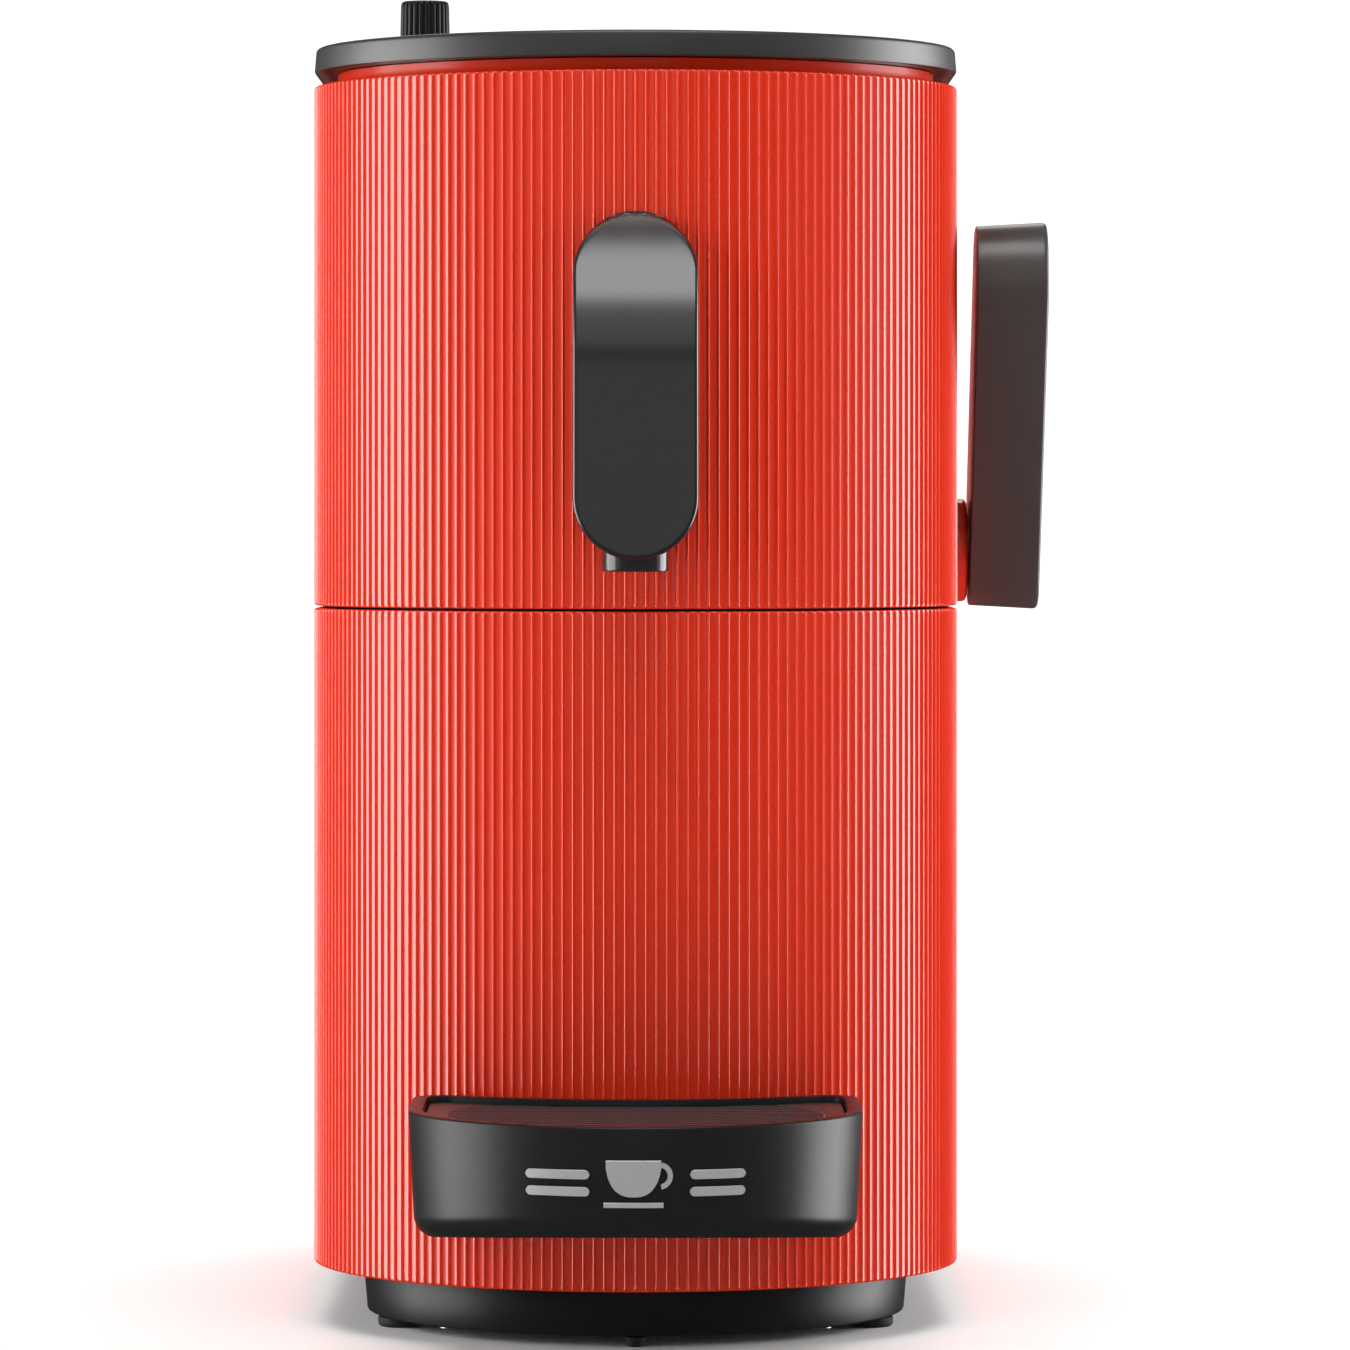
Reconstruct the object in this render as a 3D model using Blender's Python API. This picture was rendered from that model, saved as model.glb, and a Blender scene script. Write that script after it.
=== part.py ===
"""Lever espresso machine that brews pressed coffee balls, as an assembly of separate parts.

Sizes below are in millimetres and become metres when a mesh is made. X runs to the machine's right
as seen from the front, Y from the front to the back, Z up from the surface it stands on. Parts are
laid out around the centre of the body's round front, and one root empty then puts the middle of
the footprint at the world origin.
"""

import math

import bmesh
import bpy

MM = 0.001
GAP = 0.3                       # between a part and its neighbour

# Body: a stadium in plan, a half round at the front and another at the back.
BODY_R = 82.5
BODY_LENGTH = 160.7             # from the front half round's centre to the rear one's
BODY_WALL = 2.4
BODY_Z0 = 15.0
SEAM_Z = 182.5                  # between the lower and the upper shells
SEAM_HALF = 0.3
BODY_Z1 = 315.4
BODY_BACK = 184.6               # where the body ends and the water tank begins
TANK_FRONT = 185.2
SIDE_SEAM_Y = 10.0              # between the drawer front and the fixed lower shell

# Plinth and feet.
PLINTH_R = 69.7                 # at its top; it draws in a little towards the floor
PLINTH_DRAFT = 0.9
PLINTH_WALL = 2.6
PLINTH_Z0 = 2.7
PLINTH_FLOOR = 8.0
PLINTH_Z1 = 14.7
FOOT_R = 6.2
FOOT_EDGE = 0.5
FOOT_X = 59.2
FOOT_Y = 20.0
FOOT_TOP = 2.4
CENTRE_FOOT_R = 2.6
CENTRE_FOOT_Y = -66.0

# Top: a recessed collar under an overhanging black rim.
COLLAR_INSET = 6.2
COLLAR_Z0 = 311.5                # its lower edge, inside the shell
RIM_INSET = 0.2
RIM_WIDTH = 3.5
RIM_Z0 = 318.9
DECK_Z = 321.9
RIM_Z1 = 325.2
BALL_Y = -34.0                  # centre of the ball inlet
FUNNEL_R = 23.6
KNOB_X, KNOB_Y = -55.8, 60.0
KNOB_R = 6.75
KNOB_TOP = 342.0
KNOB_SHAFT_R = 3.0
BUTTON_X, BUTTON_Y = -26.0, 60.0
BUTTON_R = 8.0
LENS_X, LENS_Y = -5.0, 60.0
LENS_R = 3.0

# Spout on the front.
SPOUT_HALF = 15.5
SPOUT_Z0 = 194.8
SPOUT_Z1 = 280.5
NOZZLE_Y = -98.0
NOZZLE_R = 8.2
NOZZLE_Z0 = 192.1
PIPE_R = 3.0                    # the pipe from the brew group to the nozzle

# Lever on the right, on a shaft that turns a toothed sector.
SHAFT_Y, SHAFT_Z = 40.0, 196.7
SHAFT_R = 6.0
LEVER_LEAN = 31.4               # degrees forward of upright at rest
LEVER_LENGTH = 80.7
LEVER_R = 14.4
LEVER_X0, LEVER_X1 = 87.1, 105.3
LEVER_INNER_BEVEL, LEVER_OUTER_BEVEL = 0.5, 1.2
BOSS_X0, BOSS_X1 = 82.8, 86.65
BOSS_R = 13.4
BUSH_R = 10.0

# Brew group: a fixed front half and a carriage that the lever draws back.
BREW_Z = 246.0
BALL_POCKET_R = 17.0
SPLIT_Y = -55.0                 # where the two halves of the chamber meet
GROUP_HALF = 27.0
PLATE_IN, PLATE_OUT = 28.0, 32.0
BRIDGE_Y = 87.0
BLOCK_Y0, BLOCK_Y1 = -10.0, 44.0
BLOCK_Z0, BLOCK_Z1 = 230.3, 275.0
ROD_X, ROD_Z, ROD_R = 21.0, 268.0, 3.0
GEAR_MODULE = 2.0
GEAR_TEETH = 26
GEAR_X0, GEAR_X1 = 14.0, 22.0
BACKLASH = 0.3
RACK_END = 0.3                  # rack beyond its end teeth: it stops just short of the bridge
PRESSURE_ANGLE = math.radians(20.0)
PITCH_R = GEAR_MODULE * GEAR_TEETH / 2

# Inner plates.
FLOOR_Z0, FLOOR_Z1 = 15.3, 18.0
DECK_PLATE_Z0, DECK_PLATE_Z1 = 182.6, 185.0
BULKHEAD_Y0, BULKHEAD_Y1 = 66.0, 69.0
BULKHEAD_HALF = 79.0
PLATE_INSET = 3.0

# Pump and hoses.
PUMP_X, PUMP_Y = -38.0, 128.0
PUMP_R = 24.0
PUMP_Z0, PUMP_Z1 = 38.0, 152.0
HOSE_R = 2.6
HOSE_HOLE_R = 4.5
SUCTION_Z = 32.0

# Drawer and its bin.
BIN_R, BIN_CENTRE_Y, BIN_BACK = 62.0, -14.0, 59.0
BIN_Z0, BIN_Z1 = 20.9, 120.0
DRAWER_BACK = 62.0

# Drip tray, magnet plate and grid.
TRAY_R = 54.8
TRAY_Y = -113.4                 # centre of the tray's round front
TRAY_CORNER = 8.0
TRAY_BACK_R = 85.0
TRAY_Z0, TRAY_Z1 = 36.9, 62.8   # the foot's height is at the front; it falls towards the back
TRAY_FALL = 0.095               # per mm back from the front
TRAY_FILLET = 5.6
TRAY_DRAW = 1.3                 # how far the sides draw in by the foot
TRAY_DRAFT = TRAY_DRAW / 26.0
TRAY_RIM = 3.6
TRAY_LEDGE_Z = 59.1
TRAY_BASIN_Z = 42.0
GRID_Z0, GRID_Z1 = 59.4, 61.2
SLOT_PITCH = 5.0
SLOT_WIDTH = 2.6
SLOTS_EACH_WAY = 8
SLOT_AREA_R = 46.0
SLOT_AREA_Y = -113.0
BADGE_HALF_ANGLE = 29.0
BADGE_Z0, BADGE_Z1 = 43.0, 56.0

# Water tank, its base and lid.
BASE_Z1 = 68.0
TANK_Z0 = 68.6
TANK_WALL = 2.4
VALVE_X, VALVE_Y = 42.0, 204.0
HINGE_Y, HINGE_Z = 187.0, 323.4
LID_FRONT = 186.0
EAR_X0, EAR_X1 = 50.0, 60.0
PIN_HALF = 66.0

# Rear panel with the mains inlet and the power switch.
PANEL_Z = 40.0
SWITCH_X, SWITCH_Y = 16.0, 233.0
ROCKER_TILT = 8.0


# --- outlines -----------------------------------------------------------------------------------

def arc(cx, cy, radius, start, end, steps):
    """Points on a circle from start to end in degrees, both ends included."""
    turn = [math.radians(start + (end - start) * i / steps) for i in range(steps + 1)]
    return [(cx + radius * math.cos(t), cy + radius * math.sin(t)) for t in turn]


def body_outline(inset, back=BODY_BACK):
    """The body in plan, pulled in by inset and cut off flat at the back."""
    radius = BODY_R - inset
    tilt = math.degrees(math.asin((back - inset - BODY_LENGTH) / radius))
    front = arc(0, 0, radius, 180, 360, 28)
    right = arc(0, BODY_LENGTH, radius, 0, tilt, 2)
    left = arc(0, BODY_LENGTH, radius, 180 - tilt, 180, 2)
    return front + right + left


def rear_outline(inset, front=TANK_FRONT):
    """The part of the body's plan behind the water tank's front face, pulled in by inset."""
    radius = BODY_R - inset
    tilt = math.degrees(math.asin((front + inset - BODY_LENGTH) / radius))
    return arc(0, BODY_LENGTH, radius, tilt, 180 - tilt, 22)


def stadium(radius, length):
    """A whole stadium in plan around the body's own two centres."""
    return arc(0, 0, radius, 180, 360, 24) + arc(0, length, radius, 0, 180, 24)


def bin_outline(inset):
    """The bin in plan: a half round at the front, straight sides and a flat back."""
    radius = BIN_R - inset
    back = BIN_BACK - inset
    return arc(0, BIN_CENTRE_Y, radius, 180, 360, 18) + [(radius, back), (-radius, back)]


def tray_outline(inset):
    """The drip tray in plan: round front, rounded rear corners and a back that follows the body."""
    corner_x = TRAY_R - TRAY_CORNER
    corner = max(TRAY_CORNER - inset, 1.0)
    back_r = TRAY_BACK_R + inset
    back_turn = math.degrees(math.atan2(-math.sqrt(back_r ** 2 - corner_x ** 2), corner_x))
    front = arc(0, TRAY_Y, TRAY_R - inset, 180, 360, 24)
    right = arc(corner_x, -math.sqrt(back_r ** 2 - corner_x ** 2) - corner, corner, 0, 80, 3)
    left = [(-x, y) for x, y in reversed(right)]
    back = arc(0, 0, back_r, back_turn, -180 - back_turn, 8)
    return front + right + back + left


def at_height(outline, z):
    return [(x, y, z) for x, y in outline]


# --- making objects -----------------------------------------------------------------------------

def clear_scene():
    for obj in list(bpy.data.objects):
        bpy.data.objects.remove(obj, do_unlink=True)


def empty(name, at, parent=None):
    """A pivot at a place given in body coordinates; its parent is another pivot."""
    pivot = bpy.data.objects.new(name, None)
    bpy.context.scene.collection.objects.link(pivot)
    home = parent["home"] if parent else (0.0, 0.0, 0.0)
    pivot.parent = parent
    pivot.location = [(a - h) * MM for a, h in zip(at, home)]
    pivot["home"] = at
    return pivot


def material(name, colour, roughness, metallic=0.0):
    mat = bpy.data.materials.new(name)
    mat.use_nodes = True
    shader = mat.node_tree.nodes["Principled BSDF"]
    shader.inputs["Base Color"].default_value = (*colour, 1.0)
    shader.inputs["Roughness"].default_value = roughness
    shader.inputs["Metallic"].default_value = metallic
    mat.diffuse_color = (*colour, 1.0)
    return mat


def local(point, parent):
    """A point in body coordinates as metres under a pivot."""
    return [(c - h) * MM for c, h in zip(point, parent["home"])]


def solid(name, rings, parent, mat, closed=False):
    """Skin a stack of rings with the same number of points. Closed joins the last ring to the
    first; otherwise the two end rings are capped."""
    mesh = bmesh.new()
    rows = [[mesh.verts.new(local(point, parent)) for point in ring] for ring in rings]
    count = len(rings[0])
    pairs = list(zip(rows, rows[1:]))
    if closed:
        pairs.append((rows[-1], rows[0]))
    else:
        mesh.faces.new(rows[0])
        mesh.faces.new(rows[-1])
    for low, high in pairs:
        for i in range(count):
            j = (i + 1) % count
            mesh.faces.new((low[i], low[j], high[j], high[i]))
    bmesh.ops.recalc_face_normals(mesh, faces=mesh.faces[:])
    data = bpy.data.meshes.new(name)
    mesh.to_mesh(data)
    mesh.free()
    data.shade_smooth()
    data.set_sharp_from_angle(angle=math.radians(35))
    data.materials.append(mat)
    obj = bpy.data.objects.new(name, data)
    bpy.context.scene.collection.objects.link(obj)
    obj.parent = parent
    return obj


def prism(name, outline, low, high, parent, mat, along="Z"):
    """Extrude an outline. Along Z it is in (x, y), along X in (y, z), along Y in (x, z)."""
    put = {
        "Z": lambda a, b, h: (a, b, h),
        "X": lambda a, b, h: (h, a, b),
        "Y": lambda a, b, h: (a, h, b),
    }[along]
    rings = [[put(a, b, h) for a, b in outline] for h in (low, high)]
    return solid(name, rings, parent, mat)


def block(name, x, y, z, parent, mat):
    """A box from its (low, high) limits on each axis."""
    outline = [(x[0], y[0]), (x[1], y[0]), (x[1], y[1]), (x[0], y[1])]
    return prism(name, outline, z[0], z[1], parent, mat)


def turned(name, profile, centre, along, parent, mat, closed=False, segments=24):
    """Turn a profile of (radius, height) about an axis through centre; heights are absolute."""
    cx, cy, cz = centre
    put = {
        "Z": lambda r, t, h: (cx + r * math.cos(t), cy + r * math.sin(t), h),
        "X": lambda r, t, h: (h, cy + r * math.cos(t), cz + r * math.sin(t)),
        "Y": lambda r, t, h: (cx + r * math.sin(t), h, cz + r * math.cos(t)),
    }[along]
    turns = [2 * math.pi * i / segments for i in range(segments)]
    rings = [[put(r, t, h) for t in turns] for r, h in profile]
    return solid(name, rings, parent, mat, closed)


def ring(name, inner, outer, low, high, centre, along, parent, mat, segments=24):
    """A plain tube."""
    profile = [(outer, low), (outer, high), (inner, high), (inner, low)]
    return turned(name, profile, centre, along, parent, mat, closed=True, segments=segments)


def combine(target, tool, operation="DIFFERENCE"):
    """Cut a tool from a part, or join it on, with a Boolean that stays on the part."""
    tool.hide_render = True
    tool.display_type = "WIRE"
    modifier = target.modifiers.new(tool.name, "BOOLEAN")
    modifier.operation = operation
    modifier.solver = "EXACT"
    modifier.object = tool


def hole(target, radius, low, high, centre, along):
    """A round hole through a part."""
    parent = target.parent
    name = f"cut_{target.name}_{len(target.modifiers)}"
    tool = turned(name, [(radius, low), (radius, high)], centre, along, parent, target.data.materials[0])
    combine(target, tool)


def window(target, x, y, z):
    """A square-cornered hole through a part."""
    name = f"cut_{target.name}_{len(target.modifiers)}"
    combine(target, block(name, x, y, z, target.parent, target.data.materials[0]))


def hose(name, route, radius, parent, mat):
    """A tube along a smooth curve through the points of its route."""
    curve = bpy.data.curves.new(name, "CURVE")
    curve.dimensions = "3D"
    curve.bevel_depth = radius * MM
    curve.bevel_resolution = 1
    curve.use_fill_caps = True
    points = smooth_route(route, 4)
    spline = curve.splines.new("POLY")
    spline.points.add(len(points) - 1)
    for place, point in zip(spline.points, points):
        place.co = (*local(point, parent), 1.0)
    curve.materials.append(mat)
    obj = bpy.data.objects.new(name, curve)
    bpy.context.scene.collection.objects.link(obj)
    obj.parent = parent
    return obj


def smooth_route(route, steps):
    """Catmull-Rom points through a route, with its ends doubled."""
    ends = [route[0], *route, route[-1]]
    points = []
    for a, b, c, d in zip(ends, ends[1:], ends[2:], ends[3:]):
        for i in range(steps):
            t = i / steps
            points.append([
                0.5 * (2 * q + (r - p) * t + (2 * p - 5 * q + 4 * r - s) * t ** 2
                       + (3 * q - p - 3 * r + s) * t ** 3)
                for p, q, r, s in zip(a, b, c, d)
            ])
    points.append(route[-1])
    return points


# --- base, shells and top -----------------------------------------------------------------------

def make_plinth(root, mats):
    outer = stadium(PLINTH_R, BODY_LENGTH)
    foot_line = stadium(PLINTH_R - PLINTH_DRAFT, BODY_LENGTH)
    inner = stadium(PLINTH_R - PLINTH_WALL, BODY_LENGTH)
    rings = [at_height(foot_line, PLINTH_Z0), at_height(outer, PLINTH_Z1),
             at_height(inner, PLINTH_Z1), at_height(inner, PLINTH_FLOOR)]
    solid("base_plinth", rings, root, mats["black_satin"])


def make_feet(root, mats):
    sides = {"left": -FOOT_X, "right": FOOT_X}
    ends = {"front": -FOOT_Y, "rear": BODY_LENGTH + FOOT_Y}
    profile = [(FOOT_R - FOOT_EDGE, 0.0), (FOOT_R, FOOT_EDGE), (FOOT_R, FOOT_TOP)]
    for end, y in ends.items():
        for side, x in sides.items():
            turned(f"foot_{end}_{side}", profile, (x, y, 0), "Z", root, mats["rubber"], segments=24)
    profile = [(CENTRE_FOOT_R - 0.35, 0.0), (CENTRE_FOOT_R, FOOT_TOP)]
    turned("foot_front_center", profile, (0, CENTRE_FOOT_Y, 0), "Z", root, mats["rubber"],
           segments=16)


def make_inner_plates(root, mats):
    prism("floor_plate", body_outline(PLATE_INSET), FLOOR_Z0, FLOOR_Z1, root, mats["steel"])
    block("bulkhead", (-BULKHEAD_HALF, BULKHEAD_HALF), (BULKHEAD_Y0, BULKHEAD_Y1),
          (FLOOR_Z1 + GAP, DECK_PLATE_Z0 - GAP), root, mats["grey_plastic"])
    deck = prism("mid_deck", body_outline(PLATE_INSET), DECK_PLATE_Z0, DECK_PLATE_Z1, root,
                 mats["grey_plastic"])
    through = (DECK_PLATE_Z0 - 5.0, DECK_PLATE_Z1 + 5.0)
    window(deck, (-20.0, 20.0), (SPLIT_Y, -13.0), through)
    hole(deck, HOSE_R + 1.4, *through, (PUMP_X, PUMP_Y, 0), "Z")


def make_lower_rear_shell(root, mats):
    """The fixed lower shell: two sides and a flat back, open at the front for the drawer."""
    front = SIDE_SEAM_Y + 2 * SEAM_HALF
    outer = [p for p in body_outline(0.0) if p[1] >= BODY_LENGTH - 0.1]
    inner = [p for p in body_outline(BODY_WALL) if p[1] >= BODY_LENGTH - 0.1]
    reach = BODY_R - BODY_WALL
    outline = [(BODY_R, front), *outer, (-BODY_R, front), (-reach, front), *reversed(inner),
               (reach, front)]
    shell = prism("lower_rear_shell", outline, BODY_Z0, SEAM_Z - SEAM_HALF, root, mats["red"])
    hole(shell, HOSE_HOLE_R, 175.0, 190.0, (VALVE_X, 0, SUCTION_Z), "Y")


def make_upper_shell(root, mats):
    outer, inner = body_outline(0.0), body_outline(BODY_WALL)
    low = SEAM_Z + SEAM_HALF
    rings = [at_height(outer, low), at_height(outer, BODY_Z1),
             at_height(inner, BODY_Z1), at_height(inner, low)]
    shell = solid("upper_shell", rings, root, mats["red"], closed=True)
    hole(shell, BUSH_R + GAP, 70.0, 90.0, (0, SHAFT_Y, SHAFT_Z), "X")
    hole(shell, PIPE_R + 2.0, -90.0, -70.0, (0, 0, BREW_Z), "Y")


def make_top(root, mats):
    """The red collar, and the black cover whose rim stands out over it."""
    shoulder = BODY_Z1 - GAP
    neck_top = RIM_Z0 - GAP
    skirt, neck = body_outline(BODY_WALL + GAP), body_outline(COLLAR_INSET)
    bore = body_outline(COLLAR_INSET + 4.0)
    rings = [at_height(skirt, COLLAR_Z0), at_height(skirt, shoulder), at_height(neck, shoulder),
             at_height(neck, neck_top), at_height(bore, neck_top), at_height(bore, COLLAR_Z0)]
    solid("top_collar", rings, root, mats["red"], closed=True)
    rim, well = body_outline(RIM_INSET), body_outline(RIM_INSET + RIM_WIDTH)
    rings = [at_height(rim, RIM_Z0), at_height(rim, RIM_Z1),
             at_height(well, RIM_Z1), at_height(well, DECK_Z)]
    cover = solid("top_cover", rings, root, mats["black_satin"])
    through = (310.0, 330.0)
    hole(cover, FUNNEL_R + 0.4, *through, (0, BALL_Y, 0), "Z")
    hole(cover, KNOB_SHAFT_R + 1.5, *through, (KNOB_X, KNOB_Y, 0), "Z")
    hole(cover, BUTTON_R + 0.4, *through, (BUTTON_X, BUTTON_Y, 0), "Z")
    hole(cover, LENS_R + GAP, *through, (LENS_X, LENS_Y, 0), "Z")
    flange_r, flange_z, foot_z = 27.0, DECK_Z + GAP, 300.3
    funnel = [(22.0, 323.2), (22.8, 323.6), (flange_r, 323.2), (flange_r, flange_z),
              (FUNNEL_R, flange_z), (FUNNEL_R, 317.0), (20.5, foot_z), (18.5, foot_z)]
    turned("ball_funnel", funnel, (0, BALL_Y, 0), "Z", root, mats["gloss_black"], closed=True,
           segments=32)
    turned("status_lens", [(LENS_R, 318.0), (LENS_R, DECK_Z + 0.2)], (LENS_X, LENS_Y, 0), "Z", root,
           mats["lens"], segments=20)


# --- spout --------------------------------------------------------------------------------------

def spout_front(z):
    """How far forward the spout's face is at a height: nearly upright low down, then curving back."""
    lean = math.tan(math.radians(4.0))
    bend_z = 240.0
    back_curve = 0.0128
    low = -111.0 + (z - SPOUT_Z0) * lean
    return low + back_curve * max(0.0, z - bend_z) ** 2 + 0.04 * max(0.0, z - bend_z)


def spout_sections(inset, back_r, face_inset):
    """Level sections of the spout's stadium-shaped block between the body and its face."""
    radius = SPOUT_HALF - inset
    low, high = SPOUT_Z0 + SPOUT_HALF, SPOUT_Z1 - SPOUT_HALF
    turns = [8, 24, 42, 60, 78]
    levels = [(low - radius * math.cos(math.radians(t)), radius * math.sin(math.radians(t)))
              for t in turns]
    levels += [(low + (high - low) * i / 5, radius) for i in range(6)]
    levels += [(high + radius * math.cos(math.radians(t)), radius * math.sin(math.radians(t)))
               for t in reversed(turns)]
    sections = []
    for z, half in levels:
        face = spout_front(z) + face_inset
        across = [half * (1 - i / 3) for i in range(7)]
        arc_back = [(x, -math.sqrt(back_r ** 2 - x ** 2)) for x in across]
        outline = [(-half * 0.97, face), (half * 0.97, face), *arc_back]
        sections.append(at_height(outline, z))
    return sections


def make_spout(root, mats):
    cover = solid("spout_cover", spout_sections(0.0, BODY_R + GAP, 0.0), root, mats["gloss_black"])
    room = solid("cut_spout_room", spout_sections(2.2, 78.0, 2.4), root, mats["gloss_black"])
    combine(cover, room)
    hole(cover, NOZZLE_R + GAP, 180.0, 212.0, (0, NOZZLE_Y, 0), "Z")
    nozzle = [(5.0, NOZZLE_Z0), (NOZZLE_R, NOZZLE_Z0), (NOZZLE_R, 208.0), (3.6, 212.0), (3.6, 218.0),
              (2.0, 218.0), (2.0, 205.0)]
    turned("outlet_nozzle", nozzle, (0, NOZZLE_Y, 0), "Z", root, mats["black_satin"], closed=True)
    route = [(0, -74.3, BREW_Z), (0, -86.0, BREW_Z), (0, -94.0, 243.0), (0, NOZZLE_Y, 235.0),
             (0, NOZZLE_Y, 226.0), (0, NOZZLE_Y, 218.4)]
    hose("outlet_pipe", route, PIPE_R, root, mats["silicone"])


# --- brew group ---------------------------------------------------------------------------------

def pocket_profile(direction, mouth):
    """A half ball, from near its pole to its rim, along the brew axis."""
    turns = [math.radians(t) for t in (6, 22, 38, 54, 70, 82)]
    bowl = [(BALL_POCKET_R * math.sin(t), SPLIT_Y + direction * BALL_POCKET_R * math.cos(t))
            for t in turns]
    return bowl + [(BALL_POCKET_R, mouth)]


def make_brew_head(root, mats):
    head = block("brew_head", (-GROUP_HALF, GROUP_HALF), (-74.0, SPLIT_Y), (222.0, 272.0), root,
                 mats["grey_plastic"])
    profile = pocket_profile(-1, SPLIT_Y + 5.0)
    pocket = turned("cut_brew_head_pocket", profile, (0, 0, BREW_Z), "Y", root, mats["grey_plastic"])
    combine(head, pocket)
    hole(head, 2.0, -80.0, -68.0, (0, 0, BREW_Z), "Y")


def make_group_frame(root, mats):
    """A folded plate on the mid deck, the two rods its carriage runs on and the ball's chute."""
    front, back = -70.0, BRIDGE_Y + 3.0
    outline = [(-PLATE_OUT, front), (-PLATE_IN, front), (-PLATE_IN, BRIDGE_Y), (PLATE_IN, BRIDGE_Y),
               (PLATE_IN, front), (PLATE_OUT, front), (PLATE_OUT, back), (-PLATE_OUT, back)]
    frame = prism("group_frame", outline, DECK_PLATE_Z1 + GAP, 276.0, root, mats["steel"])
    hole(frame, SHAFT_R + 0.1, -50.0, 50.0, (0, SHAFT_Y, SHAFT_Z), "X")
    for side, x in (("left", -ROD_X), ("right", ROD_X)):
        turned(f"guide_rod_{side}", [(ROD_R, SPLIT_Y + GAP), (ROD_R, BRIDGE_Y - GAP)],
               (x, 0, ROD_Z), "Y", root, mats["chrome"], segments=20)
    outline = [(-22.5, -58.0), (22.5, -58.0), (22.5, -16.0), (20.5, -16.0), (20.5, -56.0),
               (-20.5, -56.0), (-20.5, -16.0), (-22.5, -16.0)]
    prism("ball_chute", outline, 273.0, 297.2, root, mats["grey_plastic"])


def make_carriage(carriage, mats):
    slide = block("brew_carriage", (-GROUP_HALF, GROUP_HALF), (BLOCK_Y0, BLOCK_Y1),
                  (BLOCK_Z0, BLOCK_Z1), carriage, mats["grey_plastic"])
    for x in (-ROD_X, ROD_X):
        hole(slide, ROD_R + GAP, BLOCK_Y0 - 5, BLOCK_Y1 + 5, (x, 0, ROD_Z), "Y")
    prism("carriage_rack", rack_outline(), GEAR_X0 - 0.5, GEAR_X1 + 0.5, carriage, mats["steel"],
          along="X")
    face, back = SPLIT_Y + 0.6, -36.0
    profile = pocket_profile(1, face) + [(19.0, face), (19.0, back), (8.0, back),
                                         (8.0, BLOCK_Y0 - GAP)]
    turned("brew_piston", profile, (0, 0, BREW_Z), "Y", carriage, mats["aluminium"])
    ring("piston_seal", 19.3, 21.5, face + 0.8, face + 3.8, (0, 0, BREW_Z), "Y", carriage,
         mats["rubber"])
    shutter = [(-54.5, 297.6), (-9.0, 297.6), (-9.0, BLOCK_Z1 + GAP), (-6.0, BLOCK_Z1 + GAP),
               (-6.0, 299.6), (-54.5, 299.6)]
    prism("ball_shutter", shutter, -20.0, 20.0, carriage, mats["gloss_black"], along="X")


def rack_outline():
    """Straight-sided rack teeth pointing down at the gear, with a flat back."""
    pitch = math.pi * GEAR_MODULE
    line = SHAFT_Z + PITCH_R
    tip, root_line, back = line - GEAR_MODULE, line + 1.25 * GEAR_MODULE, BLOCK_Z0 - GAP
    half = (pitch / 2 - BACKLASH) / 2
    slope = math.tan(PRESSURE_ANGLE)
    tip_half = half - GEAR_MODULE * slope
    root_half = half + 1.25 * GEAR_MODULE * slope
    points = []
    for tooth in range(-8, 1):
        y = SHAFT_Y + (tooth + 0.5) * pitch
        points += [(y - root_half, root_line), (y - tip_half, tip), (y + tip_half, tip),
                   (y + root_half, root_line)]
    low, high = points[0][0] - RACK_END, points[-1][0] + RACK_END
    return [(low, root_line), *points, (high, root_line), (high, back), (low, back)]


def involute(radius):
    """The involute function of the pressure angle at a radius."""
    base = PITCH_R * math.cos(PRESSURE_ANGLE)
    angle = math.acos(min(1.0, base / radius))
    return math.tan(angle) - angle


def sector_outline():
    """A toothed sector about the shaft; its turn is measured from the top towards the front."""
    tip_r, root_r, hub_r = PITCH_R + GEAR_MODULE, PITCH_R - 1.25 * GEAR_MODULE, 10.0
    half_pitch = (math.pi * GEAR_MODULE / 2 - BACKLASH) / 2 / PITCH_R
    radii = [root_r, PITCH_R - 1.4, PITCH_R - 0.4, PITCH_R + 0.8, tip_r]
    flank = [(r, half_pitch + involute(PITCH_R) - involute(r)) for r in radii]
    first, last = math.radians(-18.5), math.radians(104.0)
    polar = [(root_r, first)]
    for tooth in range(-1, 8):
        centre = 2 * math.pi * tooth / GEAR_TEETH
        polar += [(r, centre - h) for r, h in flank]
        polar += [(r, centre + h) for r, h in reversed(flank)]
    polar.append((root_r, last))
    sweep = 2 * math.pi - (last - first)
    polar += [(hub_r, last + sweep * i / 16) for i in range(17)]
    return [(SHAFT_Y - r * math.sin(t), SHAFT_Z + r * math.cos(t)) for r, t in polar]


# --- lever --------------------------------------------------------------------------------------

def lever_ring(radius, x):
    """The lever's stadium outline at one distance out from the body."""
    lean = math.radians(LEVER_LEAN)
    top_y = SHAFT_Y - LEVER_LENGTH * math.sin(lean)
    top_z = SHAFT_Z + LEVER_LENGTH * math.cos(lean)
    upper = arc(top_y, top_z, radius, LEVER_LEAN, 180 + LEVER_LEAN, 16)
    lower = arc(SHAFT_Y, SHAFT_Z, radius, 180 + LEVER_LEAN, 360 + LEVER_LEAN, 16)
    return [(x, y, z) for y, z in upper + lower]


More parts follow.
